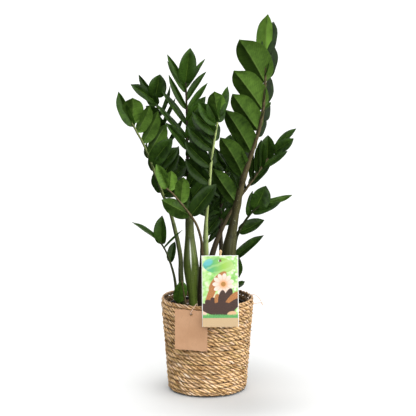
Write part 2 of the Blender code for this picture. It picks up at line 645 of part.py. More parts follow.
def make_care_tag():
    """A printed card folded once at its right edge, with a punched hole at the top."""
    half = CARE_TAG_WIDTH / 2
    back = half + CARE_TAG_OFFSET
    sheet = CARD_THICKNESS
    outline = [(-half, 0), (half, 0), (half, 2 * sheet + GAP), (-back, 2 * sheet + CARE_TAG_GAPE)]
    outline += [(-back, sheet + CARE_TAG_GAPE), (half - sheet, sheet + GAP), (half - sheet, sheet)]
    outline += [(-half, sheet)]
    card = extruded("care_tag", outline, CARE_TAG_HEIGHT, finish("printed_card", (0.4, 0.6, 0.3), 0.4))
    card.location = CARE_TAG_PLACE
    card.rotation_euler = (CARE_TAG_LEAN, CARE_TAG_ROLL, 0)
    punch(card, CARE_TAG_HEIGHT - HOLE_BELOW_TOP)


def make_kraft_tag():
    """A blank kraft card that hangs flat in front of the basket."""
    half = KRAFT_TAG_WIDTH / 2
    outline = [(-half, 0), (half, 0), (half, CARD_THICKNESS), (-half, CARD_THICKNESS)]
    card = extruded("kraft_tag", outline, KRAFT_TAG_HEIGHT, finish("kraft_card", (0.6, 0.38, 0.22), 0.8))
    out = Vector((math.cos(KRAFT_TAG_BEARING), math.sin(KRAFT_TAG_BEARING), 0))
    along = Vector((-out.y, out.x, 0))
    place = out * (KRAFT_TAG_REACH + CARD_THICKNESS) + along * KRAFT_TAG_SHIFT
    card.location = (place.x, place.y, KRAFT_TAG_BASE)
    card.rotation_euler = (0, 0, KRAFT_TAG_BEARING + math.pi / 2)
    punch(card, KRAFT_TAG_HEIGHT - 0.8 * HOLE_BELOW_TOP)


STICK_WIDTH = 3.8 * MM
STICK_DEPTH = 2 * MM
STICK_FOOT = Vector((25, -56, 120)) * MM
STICK_HEAD = Vector((25, -89.2, 297)) * MM
STICK_OUTLINE = ((0, 0.2), (0.06, 1), (0.955, 1), (0.972, 1.55), (0.99, 1.55), (1, 0.9))   # (along, width)


def stick_solid(name, spread, material=None):
    """The bamboo pick glued to the back of the care tag: pointed foot, slim shank, rounded head."""
    along = (STICK_HEAD - STICK_FOOT).normalized()
    across = Vector((1, 0, 0))
    deep = along.cross(across)
    rings = []
    for share, fullness in STICK_OUTLINE:
        place = STICK_FOOT.lerp(STICK_HEAD, share) - along * (spread if share == 0 else 0)
        wide = STICK_WIDTH / 2 * fullness + spread
        thick = STICK_DEPTH / 2 * min(fullness, 1) + spread
        rings.append([place + across * wide * x + deep * thick * y
                      for x, y in ((-1, -1), (1, -1), (1, 1), (-1, 1))])
    maker = bmesh.new()
    add_rings(maker, rings)
    return add_object(name, maker, material)


# ---------------------------------------------------------------- strings

STRING_RADIUS = 0.7 * MM
STRING_STEPS = 2
STRING_SIDE_DETAIL = 2
KNOT_SIZE = 1.9 * MM
TAIL_LENGTH = 6 * MM
HOLE_BELOW_RIM = 15 * MM
RIM_STRING_BEARING = 0.0


def radial(bearing, reach, height, aside=0.0):
    """A point at a reach from the basket's axis, turned to a bearing and moved aside."""
    out = Vector((math.cos(bearing), math.sin(bearing), 0))
    return out * reach + Vector((-out.y, out.x, 0)) * aside + UP * height


def make_string(name, points, material):
    """A tied string as a tube along a smooth curve through its own points."""
    curve = bpy.data.curves.new(name, "CURVE")
    curve.dimensions = "3D"
    curve.bevel_depth = STRING_RADIUS
    curve.bevel_resolution = STRING_SIDE_DETAIL
    curve.use_fill_caps = True
    route = smooth_path(points, STRING_STEPS)
    line = curve.splines.new("POLY")
    line.points.add(len(route) - 1)
    for place, point in zip(line.points, route):
        place.co = (*point, 1)
    curve.materials.append(material)
    string = bpy.data.objects.new(name, curve)
    bpy.context.scene.collection.objects.link(string)


def make_knot(name, centre, tails, material):
    """A small knot with two cut tails."""
    maker = bmesh.new()
    bmesh.ops.create_icosphere(maker, subdivisions=1, radius=KNOT_SIZE)
    for vert in maker.verts:
        vert.co += centre
    knot = add_object(name, maker, material)
    ends = bmesh.new()
    for tail in tails:
        tip = centre + tail.normalized() * TAIL_LENGTH
        add_rings(ends, tube_rings([centre + tail.normalized() * KNOT_SIZE / 2, tip],
                                   [STRING_RADIUS, STRING_RADIUS * 0.6], 6))
    boolean(knot, add_object(name + "_tails", ends), "UNION").use_self = True


def weave_hole(basket, bearing):
    """The gap between two rows of rope that a string is threaded through."""
    along = radial(bearing, 1, 0)
    across = Vector((-along.y, along.x, 0))
    height = BASKET_HEIGHT - HOLE_BELOW_RIM
    maker = bmesh.new()
    add_rings(maker, [
        [radial(bearing, reach, height) + (across * math.cos(a) + UP * math.sin(a)) * STRING_HOLE_RADIUS
         for a in (math.tau * side / 6 for side in range(6))]
        for reach in (BASKET_BASE_RADIUS - ROPE_THICKNESS, BASKET_RIM_RADIUS + ROPE_THICKNESS)
    ])
    boolean(basket, add_object("weave_hole", maker), "DIFFERENCE")


# Routes of the two strings: (reach from the basket's axis, height, distance aside) in millimetres.
# Each is a loop round the rim rope that leaves its knot, runs over the rim and comes back through
# the gap in the weave below it.
RIM_ROUTE = (
    (106.2, 175.7, 0), (103.5, 180.5, 0.6), (99, 185.5, 0.8), (94.5, 188.8, 0.6), (89, 190.2, 0.2),
    (84, 188.6, 0), (81.4, 184, 0), (80.8, 178.4, 0), (81.6, 174.2, 0), (84.4, 172.2, 0),
    (88, 172, 0), (92, 172, -0.2), (96, 172.4, -0.4), (100, 172.9, -0.4), (104.3, 173.2, 0),
)
RIM_KNOT = (106.9, 173.2, 0)
RIM_TAILS = ((0.6, -0.7, 0.5), (0.5, -0.8, -0.5))
KRAFT_ROUTE = (
    (79.9, 178.6, 3.4), (80.2, 175.8, 2.4), (81.4, 173.4, 1.2), (84, 172.2, 0.2), (87.6, 172, 0),
    (91.4, 171.9, -0.6), (95, 171.6, -1.3), (98.6, 171.4, -1.8), (101, 172.8, -1.8),
    (101.8, 176, -0.8), (100.4, 180, 1.4), (97.2, 184.6, 4), (93, 188.8, 6), (88.6, 190.4, 7),
    (84, 189, 7), (81, 186, 6), (80, 183.4, 4.8),
)
KRAFT_KNOT = (79.9, 181.1, 4)
KRAFT_TAILS = ((-0.5, -0.3, 1), (-0.7, 0.3, 0.7))


# ---------------------------------------------------------------- build

clear_scene()
basket = make_basket()
make_liner()
make_pot()
soil = make_soil()

tubers = finish("rhizome_skin", (0.42, 0.30, 0.16), 0.7)
for rhizome in RHIZOMES:
    rhizome_solid(rhizome, rhizome, 0, tubers)
    boolean(soil, rhizome_solid(rhizome + "_room", rhizome, GAP), "DIFFERENCE")

green = finish("leaf_green", (0.05, 0.16, 0.03), 0.35)
for leaf_name, leaf in LEAVES.items():
    stem = make_leaf(leaf_name, leaf, green)
    for rhizome in RHIZOMES:
        boolean(stem, tuber_solid(leaf_name + "_seat", rhizome, GAP), "DIFFERENCE")
    boolean(soil, stem_solid(leaf_name + "_room", leaf, GAP), "DIFFERENCE")

make_care_tag()
make_kraft_tag()
stick_solid("tag_stick", 0, finish("bamboo", (0.62, 0.45, 0.25), 0.6))
boolean(soil, stick_solid("stick_room", GAP), "DIFFERENCE")

raffia = finish("raffia", (0.72, 0.55, 0.38), 0.7)
for name, bearing, route, knot, tails in (
    ("rim_string", RIM_STRING_BEARING, RIM_ROUTE, RIM_KNOT, RIM_TAILS),
    ("kraft_tag_string", KRAFT_TAG_BEARING, KRAFT_ROUTE, KRAFT_KNOT, KRAFT_TAILS),
):
    weave_hole(basket, bearing)
    make_string(name, [radial(bearing, *(value * MM for value in point)) for point in route], raffia)
    make_knot(name + "_knot", radial(bearing, *(value * MM for value in knot)),
              [radial(bearing, *tail) for tail in tails], raffia)
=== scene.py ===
"""A zz plant in a coiled seagrass basket, with its pot, potting mix, compound leaves and two hang tags.

Metres, +Z up, the basket's foot on Z = 0 and its axis on Z; the tags hang at -Y.
"""

import math
import random
from collections import namedtuple

import bpy
from mathutils import Matrix, Vector, noise


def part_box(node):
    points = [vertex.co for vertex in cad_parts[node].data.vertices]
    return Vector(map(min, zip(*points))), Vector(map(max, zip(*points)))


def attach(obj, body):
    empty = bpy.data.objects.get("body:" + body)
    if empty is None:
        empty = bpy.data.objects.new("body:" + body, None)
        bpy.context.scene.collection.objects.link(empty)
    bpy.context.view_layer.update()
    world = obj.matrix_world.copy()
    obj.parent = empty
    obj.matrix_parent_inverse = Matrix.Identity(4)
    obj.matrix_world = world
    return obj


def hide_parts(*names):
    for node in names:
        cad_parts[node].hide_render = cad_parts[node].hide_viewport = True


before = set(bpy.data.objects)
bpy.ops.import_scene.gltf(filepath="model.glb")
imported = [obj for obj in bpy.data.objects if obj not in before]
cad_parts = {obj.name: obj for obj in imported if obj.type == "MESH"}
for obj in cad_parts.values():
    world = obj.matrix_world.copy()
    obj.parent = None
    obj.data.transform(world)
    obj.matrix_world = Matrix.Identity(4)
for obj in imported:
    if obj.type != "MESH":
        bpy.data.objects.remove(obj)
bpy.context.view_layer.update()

MM = 0.001
UP = Vector((0, 0, 1))


# ---------------------------------------------------------------- camera
# A long lens, well back from the plant and a little above it, so that upright stems stay upright
# and the basket's rim shows as a thin ellipse.

CAMERA_PLACE = (0.001, -3.35, 0.93)
CAMERA_TURN = (math.radians(80.4), 0, 0)
CAMERA_LENS = 150


def add_to_scene(thing):
    bpy.context.scene.collection.objects.link(thing)
    return thing


camera = add_to_scene(bpy.data.objects.new("camera", bpy.data.cameras.new("camera")))
camera.location = CAMERA_PLACE
camera.rotation_euler = CAMERA_TURN
camera.data.lens = CAMERA_LENS
bpy.context.scene.camera = camera


# ---------------------------------------------------------------- tag strings
# Two lengths of pinkish raffia string, each twisted from two plies. One is the blank tag's loop over
# the basket's rim, the other is the loop left at the right, where a tag has come off. Each is tied
# in a small overhand knot with two cut tails.

STRING_RADIUS = 0.7 * MM
STRING_LAY = 3.2 * MM
STRING_STEPS = 4
STRING_STEP = 0.45 * MM
KNOT_SCALE = 0.494 * MM     # size of the knot's curve, a third of its reach
KNOT_STEPS = 39
KNOT_OPENING = 0.25         # angle left open where each tail comes out
TAIL_LENGTH = 6 * MM
TAIL_STEPS = 6
TAIL_DROOP = 0.35           # how far a tail sinks, as a share of its length
RIM_STRING_BEARING = 0.0
KRAFT_TAG_BEARING = math.radians(-108)
RAFFIA_PALE = (0.80, 0.63, 0.50)
RAFFIA_DARK = (0.52, 0.34, 0.24)

# Routes: (reach from the basket's axis, height, distance aside) in millimetres
RIM_ROUTE = (
    (106.2, 175.7, 0), (103.5, 180.5, 0.6), (99, 185.5, 0.8), (94.5, 188.8, 0.6), (89, 190.2, 0.2),
    (84, 188.6, 0), (81.4, 184, 0), (80.8, 178.4, 0), (81.6, 174.2, 0), (84.4, 172.2, 0),
    (88, 172, 0), (92, 172, -0.2), (96, 172.4, -0.4), (100, 172.9, -0.4), (104.3, 173.2, 0),
)
RIM_KNOT = (106.9, 173.2, 0)
RIM_TAILS = ((0.6, -0.7, 0.5), (0.5, -0.8, -0.5))
RIM_EXIT = (92.5, 187, 0)
KRAFT_ROUTE = (
    (79.9, 178.6, 3.4), (80.2, 175.8, 2.4), (81.4, 173.4, 1.2), (84, 172.2, 0.2), (87.6, 172, 0),
    (91.4, 171.9, -0.6), (95, 171.6, -1.3), (98.6, 171.4, -1.8), (101, 172.8, -1.8),
    (101.8, 176, -0.8), (100.4, 180, 1.4), (97.2, 184.6, 4), (93, 188.8, 6), (88.6, 190.4, 7),
    (84, 189, 7), (81, 186, 6), (80, 183.4, 4.8),
)
KRAFT_KNOT = (79.9, 181.1, 4)
KRAFT_TAILS = ((-0.5, -0.3, 1), (-0.7, 0.3, 0.7))
KRAFT_EXIT = (84.5, 178, 3)


class Wire:
    """The output of a node. Arithmetic on it adds Math nodes."""

    def __init__(self, tree, socket):
        self.tree = tree
        self.socket = socket

    def output(self, name):
        return Wire(self.tree, self.socket.node.outputs[name])

    def maths(self, operation, *values):
        return self.tree.add("ShaderNodeMath", {"operation": operation}, dict(enumerate(values)))

    def __add__(self, other):
        return self.maths("ADD", self, other)

    def __sub__(self, other):
        return self.maths("SUBTRACT", self, other)

    def __rsub__(self, other):
        return self.maths("SUBTRACT", other, self)

    def __mul__(self, other):
        return self.maths("MULTIPLY", self, other)

    def __truediv__(self, other):
        return self.maths("DIVIDE", self, other)

    def __pow__(self, other):
        return self.maths("POWER", self, other)

    __radd__ = __add__
    __rmul__ = __mul__

    def sine(self):
        return self.maths("SINE", self)

    def cosine(self):
        return self.maths("COSINE", self)

    def size(self):
        return self.maths("ABSOLUTE", self)

    def least(self, other):
        return self.maths("MINIMUM", self, other)

    def most(self, other):
        return self.maths("MAXIMUM", self, other)

    def ease(self, low, high):
        """0 below low and 1 above high, with a smooth step between."""
        settings = {"interpolation_type": "SMOOTHSTEP"}
        return self.tree.add("ShaderNodeMapRange", settings, {0: self, 1: low, 2: high})


class Tree:
    """A node tree that is built by adding nodes."""

    def __init__(self, nodes):
        self.nodes = nodes

    def add(self, kind, settings=None, sockets=None, output=0):
        """A node of that kind, with its settings, then the values or wires of its sockets."""
        node = self.nodes.nodes.new(kind)
        for name, value in (settings or {}).items():
            if name == "stops":
                set_stops(node.color_ramp.elements, value)
            else:
                setattr(node, name, value)
        for key, value in (sockets or {}).items():
            if isinstance(value, Wire):
                self.nodes.links.new(value.socket, node.inputs[key])
            else:
                node.inputs[key].default_value = value
        return Wire(self, node.outputs[output])

    def given(self, kinds):
        """The tree's named inputs."""
        source = self.nodes.nodes.new("NodeGroupInput")
        for name, kind in kinds.items():
            self.nodes.interface.new_socket(name, in_out="INPUT", socket_type="NodeSocket" + kind)
        return {name: Wire(self, source.outputs[name]) for name in kinds}

    def result(self, geometry, material):
        """The tree's end: instances made real, and the material set."""
        real = self.add("GeometryNodeRealizeInstances", None, {"Geometry": geometry})
        done = self.add("GeometryNodeSetMaterial", None, {"Geometry": real, "Material": material})
        self.nodes.interface.new_socket("Mesh", in_out="OUTPUT", socket_type="NodeSocketGeometry")
        self.nodes.links.new(done.socket, self.nodes.nodes.new("NodeGroupOutput").inputs[0])

    def store(self, geometry, name, value, kind="FLOAT"):
        return self.add("GeometryNodeStoreNamedAttribute", {"data_type": kind},
                        {"Geometry": geometry, "Name": name, "Value": value})

    def stored(self, name, kind="FLOAT"):
        return self.add("GeometryNodeInputNamedAttribute", {"data_type": kind}, {"Name": name})

    def vector(self, x, y=0.0, z=0.0):
        return self.add("ShaderNodeCombineXYZ", None, {"X": x, "Y": y, "Z": z})

    def scaled(self, vector, by):
        return self.add("ShaderNodeVectorMath", {"operation": "SCALE"}, {0: vector, "Scale": by})

    def together(self, one, other, operation="ADD"):
        return self.add("ShaderNodeVectorMath", {"operation": operation}, {0: one, 1: other})

    def noise(self, vector, scale, detail=2.0, roughness=0.5):
        return self.add("ShaderNodeTexNoise", None,
                        {"Vector": vector, "Scale": scale, "Detail": detail, "Roughness": roughness})


class Finish(Tree):
    """A procedural material on one Principled shader, whose constant sockets are set directly."""

    def __init__(self, name, constants=None):
        self.material = bpy.data.materials.new(name)
        self.material.use_nodes = True
        super().__init__(self.material.node_tree)
        self.shader = self.nodes.nodes["Principled BSDF"]
        for socket, value in (constants or {}).items():
            self.shader.inputs[socket].default_value = value

    def attribute(self, name, output="Fac"):
        return self.add("ShaderNodeAttribute", {"attribute_name": name}, None, output)

    def place(self):
        return self.add("ShaderNodeTexCoord", None, None, "Object")

    def parts(self, vector):
        split = self.add("ShaderNodeSeparateXYZ", None, {"Vector": vector})
        return split, split.output("Y"), split.output("Z")

    def ramp(self, value, stops):
        return self.add("ShaderNodeValToRGB", {"stops": stops}, {"Fac": value})

    def mix(self, share, one, other, blend="MIX"):
        """From one colour to the other."""
        colours = [value if isinstance(value, Wire) else (*value, 1) for value in (one, other)]
        return self.add("ShaderNodeMix", {"data_type": "RGBA", "blend_type": blend},
                        {0: share, 6: colours[0], 7: colours[1]}, 2)

    def times(self, colour, by):
        """A colour multiplied by another."""
        return self.mix(1.0, colour, by, "MULTIPLY")

    def grey(self, value):
        """A value as a colour, to multiply another by."""
        return self.add("ShaderNodeCombineColor", None, {0: value, 1: value, 2: value})

    def bump(self, height, distance, strength=1.0):
        return self.add("ShaderNodeBump", None,
                        {"Height": height, "Distance": distance, "Strength": strength})

    def drive(self, sockets):
        for name, wire in sockets.items():
            self.nodes.links.new(wire.socket, self.shader.inputs[name])
        return self.material


def set_stops(ramp, stops):
    """Stops of a colour ramp: (place, colour) from low to high."""
    for element, (place, colour) in zip((ramp[0], ramp[1]), (stops[0], stops[-1])):
        element.position = place
        element.color = (*colour, 1)
    for place, colour in stops[1:-1]:
        ramp.new(place).color = (*colour, 1)


def twisted_plies(name, normals):
    """A tree that lays plies round a path, as a rope's strands lie round its middle.

    Each ply carries its length along, its number and its own round section as attributes."""
    tree = Tree(bpy.data.node_groups.new(name, "GeometryNodeTree"))
    given = tree.given({
        "Path": "Geometry", "Plies": "Int", "Lay": "Float", "Ply Radius": "Float",
        "Reach Out": "Float", "Reach Up": "Float", "Step": "Float", "Sides": "Int",
        "Unevenness": "Float", "Material": "Material",
    })
    curve = tree.add("GeometryNodeMeshToCurve", None, {"Mesh": given["Path"]})
    curve = tree.add("GeometryNodeResampleCurve", {"mode": "LENGTH"},
                     {"Curve": curve, "Length": given["Step"]})
    curve = tree.add("GeometryNodeSetCurveNormal", {"mode": normals}, {"Curve": curve})
    curve = tree.store(curve, "along", tree.add("GeometryNodeSplineParameter", output="Length"))
    curve = tree.store(curve, "aside", tree.add("GeometryNodeInputNormal"), "FLOAT_VECTOR")
    curve = tree.store(curve, "ahead", tree.add("GeometryNodeInputTangent"), "FLOAT_VECTOR")
    copies = tree.add("GeometryNodeDuplicateElements", {"domain": "SPLINE"},
                      {"Geometry": curve, "Amount": given["Plies"]})
    curve = tree.store(copies, "ply", copies.output("Duplicate Index"))

    along = tree.stored("along")
    ply = tree.stored("ply")
    aside = tree.stored("aside", "FLOAT_VECTOR")
    girth = tree.stored("girth")
    place = tree.vector(along / given["Lay"], ply * 7.3)
    wander = (tree.noise(place, 0.7, 1.0) - 0.5) * given["Unevenness"] * 3
    angle = ply * math.tau / given["Plies"] - along * math.tau / given["Lay"] + wander
    rising = tree.together(aside, tree.stored("ahead", "FLOAT_VECTOR"), "CROSS_PRODUCT")
    out = tree.scaled(aside, angle.cosine() * given["Reach Out"] * girth)
    up = tree.scaled(rising, angle.sine() * given["Reach Up"] * girth)
    curve = tree.add("GeometryNodeSetPosition", None,
                     {"Geometry": curve, "Offset": tree.together(out, up)})
    curve = tree.store(curve, "run", tree.add("GeometryNodeInputTangent"), "FLOAT_VECTOR")
    fullness = (tree.noise(place, 1.9, 1.0) - 0.5) * given["Unevenness"] + 1
    profile = tree.add("GeometryNodeCurvePrimitiveCircle", None,
                       {"Resolution": given["Sides"], "Radius": 1.0})
    profile = tree.store(profile, "around", tree.add("GeometryNodeInputPosition"), "FLOAT_VECTOR")
    mesh = tree.add("GeometryNodeCurveToMesh", None, {
        "Curve": curve, "Profile Curve": profile, "Fill Caps": True,
        "Scale": fullness * given["Ply Radius"] * girth,
    })
    tree.result(mesh, given["Material"])
    return tree


def grown(name, start, tree, values):
    """Runs a geometry tree on a mesh, and keeps what it makes as a plain mesh."""
    thing = add_to_scene(bpy.data.objects.new(name, start))
    modifier = thing.modifiers.new("grow", "NODES")
    modifier.node_group = tree.nodes
    for item in tree.nodes.interface.items_tree:
        if item.in_out == "INPUT" and item.name in values:
            modifier[item.identifier] = values[item.name]
    ready = thing.evaluated_get(bpy.context.evaluated_depsgraph_get())
    mesh = bpy.data.meshes.new_from_object(ready)
    thing.modifiers.remove(modifier)
    thing.data = mesh
    return thing


def path_mesh(name, routes, girths=None):
    """Lines through points, each with a share of the full girth."""
    points = [point for route in routes for point in route]
    edges = []
    start = 0
    for route in routes:
        edges += [(start + index, start + index + 1) for index in range(len(route) - 1)]
        start += len(route)
    mesh = bpy.data.meshes.new(name)
    mesh.from_pydata(points, edges, [])
    girth = mesh.attributes.new("girth", "FLOAT", "POINT")
    girth.data.foreach_set("value", girths or [1.0] * len(points))
    return mesh


def smooth_path(points, steps):
    """Points on a Catmull-Rom curve through points, at even steps between each pair."""
    ends = [points[0] * 2 - points[1], *points, points[-1] * 2 - points[-2]]
    curve = []
    for a, b, c, d in zip(ends, ends[1:], ends[2:], ends[3:]):
        for step in range(steps):
            t = step / steps
            curve.append(
                0.5 * (2 * b + (c - a) * t + (2 * a - 5 * b + 4 * c - d) * t * t
                       + (3 * b - a - 3 * c + d) * t * t * t)
            )
    curve.append(points[-1].copy())
    return curve


def compass(bearing):
    """The level direction at a bearing."""
    return Vector((math.cos(bearing), math.sin(bearing), 0))


def radial(bearing, reach, height, aside=0.0):
    """A point at a reach from the basket's axis, turned to a bearing and moved aside."""
    out = compass(bearing)
    return out * reach + Vector((-out.y, out.x, 0)) * aside + UP * height


def on_basket(bearing, place):
    """A route's point, given in millimetres."""
    return radial(bearing, *(value * MM for value in place))


def raffia():
    finish = Finish("raffia_string", {"Sheen Weight": 0.3})
    along = finish.attribute("along")
    around = finish.attribute("around", "Vector")
    strand = finish.together(finish.scaled(around, 3.0), finish.vector(along * 260))
    fibres = finish.noise(strand, 1.0, 3.0)
    tint = finish.noise(finish.place(), 240.0, 2.0)
    colour = finish.mix(fibres.ease(0.35, 0.65), RAFFIA_DARK, RAFFIA_PALE)
    colour = finish.mix(tint.ease(0.4, 0.7) * 0.4, colour, (0.86, 0.72, 0.6))
    return finish.drive({
        "Base Color": colour,
        "Roughness": 0.85 - fibres * 0.2,
        "Normal": finish.bump(fibres, 0.15 * MM),
    })


STRING_TREE = twisted_plies("string_plies", "MINIMUM_TWIST")
RAFFIA = raffia()
STRING_VALUES = {
    "Plies": 2, "Lay": STRING_LAY, "Ply Radius": STRING_RADIUS * 0.56,
    "Reach Out": STRING_RADIUS * 0.5, "Reach Up": STRING_RADIUS * 0.5, "Step": STRING_STEP,
    "Sides": 8, "Unevenness": 0.25, "Material": RAFFIA,
}


def route_length(points):
    return sum((after - before).length for before, after in zip(points, points[1:]))


def overhand(centre):
    """Points along an overhand knot, a three-lobed curve left open where its tails come out."""
    turns = []
    for step in range(KNOT_STEPS + 1):
        t = KNOT_OPENING + step / KNOT_STEPS * (math.tau - 2 * KNOT_OPENING)
        bend = Vector((math.sin(t) + 2 * math.sin(2 * t), math.cos(t) - 2 * math.cos(2 * t),
                       -1.6 * math.sin(3 * t)))
        turns.append(centre + bend * KNOT_SCALE)
    return turns


def tie_string(name, bearing, route, knot, tails, leaves_at):
    """A string on its route, with its knot and the knot's two tails."""
    path = smooth_path([on_basket(bearing, point) for point in route], STRING_STEPS)
    string = grown(name + "_twist", path_mesh(name, [path]), STRING_TREE, STRING_VALUES)
    centre = on_basket(bearing, knot)
    ends = []
    for tail in tails:
        aim = radial(bearing, *tail).normalized()
        droop = aim - UP * TAIL_DROOP
        ends.append(smooth_path([centre, centre + aim * TAIL_LENGTH * 0.5,
                                 centre + (aim + droop) * TAIL_LENGTH * 0.47], TAIL_STEPS))
    tied = grown(name + "_knot_twist", path_mesh(name + "_knot", [overhand(centre), *ends]),
                 STRING_TREE, STRING_VALUES)
    for piece, node in ((string, name), (tied, name + "_knot")):
        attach(piece, "root")
        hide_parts(node)
    on_basket(bearing, leaves_at)
    route_length(path)


tie_string("rim_string", RIM_STRING_BEARING, RIM_ROUTE, RIM_KNOT, RIM_TAILS, RIM_EXIT)
tie_string("kraft_tag_string", KRAFT_TAG_BEARING, KRAFT_ROUTE, KRAFT_KNOT, KRAFT_TAILS, KRAFT_EXIT)


# ---------------------------------------------------------------- basket
# Seagrass rope, three plies twisted together, coiled flat for the floor and then row on row up the
# wall, each row stitched to the one below. Each turn steps up to the next at the back, where the
# rope's end is thinned and tucked in.

basket_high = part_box("basket")[1]
BASKET_HEIGHT = basket_high.z
BASKET_RIM_RADIUS = basket_high.x
BASKET_BASE_RADIUS = 78 * MM
ROPE_THICKNESS = 8 * MM
ROPE_ROWS = 20
ROPE_PLIES = 3
ROPE_LAY = 32 * MM
ROPE_STEP = 3.2 * MM
ROPE_START = math.radians(92)     # bearing at which a turn of the rope starts
PLY_RADIUS = 2.35 * MM
PLY_REACH_OUT = 1.7 * MM
PLY_REACH_UP = 3.15 * MM
ROPE_UNEVENNESS = 0.7
ROW_HALF = 5 * MM
ROW_PITCH = (BASKET_HEIGHT - 2 * ROW_HALF) / (ROPE_ROWS - 1)
TURN_POINTS = 90
STEP_UP = 50 / 360                # share of a turn in which the rope climbs to the next row
FIRST_ROW_LIFT = 1.8 * MM
FIRST_ROW_EASE = 1 / 6            # share of the first row over which that lift comes in
FIRST_GIRTH = 0.76                # how full the rope is in the first row, in the top ones and
TOP_GIRTH = 1.06                  # in the last one, where it thins out as well
TOP_ROWS = 4
LAST_GIRTH = 0.84
LAST_THINNING = 0.6
LAST_SINK = 0.3                   # how far its end dips, as a share of a row
SAG_BEGINS = 0.85                 # rows above the foot at which the rope may start to sag
SAG_GROWS = 0.3                   # rows over which it does, and rows over which that fades again
SAG_FADES = 3                     # below the rim
FLOOR_PITCH = 8.2 * MM
FLOOR_REACH_UP = 1.5 * MM
FLOOR_HOLE = 20                   # points left out at the middle of the floor's coil
FLOOR_SHORT = 0.3                 # turns by which that coil stops short of the wall

# How the rope strays from an even coil: waves round the basket, waves per row, how far each goes
# and where in the noise it is read
BULGES = ((2.1, 0.9, 0.9 * MM, 0), (8.5, 2.3, 1.1 * MM, 0))
SAGS = ((3.3, 0.4, 2.0 * MM, 9), (9.5, 1.7, 1.7 * MM, 0))

SEAGRASS = (
    (0.20, (0.24, 0.12, 0.045)), (0.34, (0.60, 0.34, 0.13)), (0.46, (0.82, 0.53, 0.24)),
    (0.58, (0.90, 0.61, 0.33)), (0.68, (0.86, 0.54, 0.33)), (0.82, (1.00, 0.84, 0.62)),
)
SEAGRASS_OLIVE = (0.46, 0.37, 0.12)
# Colours of the painted shade between strands and rows, and over the wall's inner side
SEAGRASS_SHADE = (0.12, 0.048, 0.012)
SEAGRASS_INSIDE_SHADE = (0.045, 0.024, 0.010)


def outer_radius(height):
    share = min(max(height / BASKET_HEIGHT, 0), 1)
    return BASKET_BASE_RADIUS + (BASKET_RIM_RADIUS - BASKET_BASE_RADIUS) * share


def smooth_step(share):
    return share * share * (3 - 2 * share)


def stray(out, rows, waves):
    """How far the rope strays in a direction from the axis and a number of rows up."""
    return sum(noise.noise(out * about + UP * rows * rising + Vector((shift, 0, 0))) * far
               for about, rising, far, shift in waves)


def wall_route():
    """The rope up the wall from the back of the floor, and how full it is at each point."""
    points = []
    girths = []
    for index in range(ROPE_ROWS * TURN_POINTS):
        row, step = divmod(index, TURN_POINTS)
        share = step / TURN_POINTS
        rows = row + share
        climb = smooth_step(max(0.0, (share - 1 + STEP_UP) / STEP_UP))
        girth = 1.0
        lift = 0.0
        slack = min(max((rows - SAG_BEGINS) / SAG_GROWS, 0), 1)
        slack = max(slack * min((ROPE_ROWS - 1 - rows) / SAG_FADES, 1), 0)
        if row == 0:
            girth = FIRST_GIRTH
            lift = FIRST_ROW_LIFT * min(share / FIRST_ROW_EASE, 1)
            slack = 0
        if row >= ROPE_ROWS - TOP_ROWS:
            girth = TOP_GIRTH
        if row == ROPE_ROWS - 1:
            girth = LAST_GIRTH - LAST_THINNING * climb
            climb = -LAST_SINK * climb
        height = ROW_HALF + (row + climb) * ROW_PITCH
        out = compass(ROPE_START + share * math.tau)
        reach = outer_radius(height) - ROPE_THICKNESS / 2 + stray(out, rows, BULGES)
        points.append(out * reach + UP * (height + lift + stray(out, rows, SAGS) * slack))
        girths.append(girth)
    return points, girths


def floor_route():
    """The rope coiled flat from the middle of the floor to the wall's first row."""
    turns = (outer_radius(0) - ROPE_THICKNESS) / FLOOR_PITCH - FLOOR_SHORT
    points = []
    for index in range(FLOOR_HOLE, int(turns * TURN_POINTS)):
        turn = index / TURN_POINTS
        angle = ROPE_START + (turn - turns) * math.tau
        points.append(compass(angle) * turn * FLOOR_PITCH + UP * ROW_HALF)
    return points


def seagrass():
    finish = Finish("seagrass_rope", {
        "Sheen Weight": 0.04, "Sheen Roughness": 0.5, "Specular IOR Level": 0.3,
    })
    along = finish.attribute("along")
    ply = finish.attribute("ply")
    around = finish.attribute("around", "Vector")
    x, y, z = finish.parts(finish.place())
    strand = finish.vector(along * 26, ply * 5.1)
    blades = finish.noise(finish.together(strand, finish.scaled(around, 0.55)), 1.0, 2.0)
    fibres = finish.noise(finish.together(finish.vector(along * 90, ply * 3.7),
                                          finish.scaled(around, 3.6)), 1.0, 3.0, 0.6)
    tone = blades * 0.72 + fibres * 0.28
    colour = finish.ramp((tone - 0.5) * 2.5 + 0.5, SEAGRASS)
    patch = finish.noise(finish.together(strand, (4.0, 9.0, 1.0)), 0.45, 2.0)
    colour = finish.mix(patch.ease(0.48, 0.7) * 0.4, colour, SEAGRASS_OLIVE)

    # Painted shade between the strands and rows, not on the rim's top, and darker on the inner side
    reach = (x * x + y * y) ** 0.5
    middle = z * ((BASKET_RIM_RADIUS - BASKET_BASE_RADIUS) / BASKET_HEIGHT)
    middle = middle + (BASKET_BASE_RADIUS - ROPE_THICKNESS / 2)
    proud = (reach - middle).size() / (PLY_RADIUS + PLY_REACH_OUT)
    rim = (z - (BASKET_HEIGHT - ROW_HALF)) / ROW_HALF * 0.6
    proud = proud.most(rim)
    groove_shade = (1 - proud.ease(0.25, 0.85)).least(0.55)
    inner_shade = (middle - reach).ease(0.5 * MM, 2.5 * MM)
    colour = finish.mix(groove_shade * 0.95, colour, SEAGRASS_SHADE)
    colour = finish.mix(inner_shade * 0.85, colour, SEAGRASS_INSIDE_SHADE)
    return finish.drive({
        "Base Color": colour,
        "Roughness": 0.78 - fibres * 0.28,
        "Normal": finish.bump(fibres * 0.5 + blades * 0.5, 0.8 * MM, 0.8),
    })


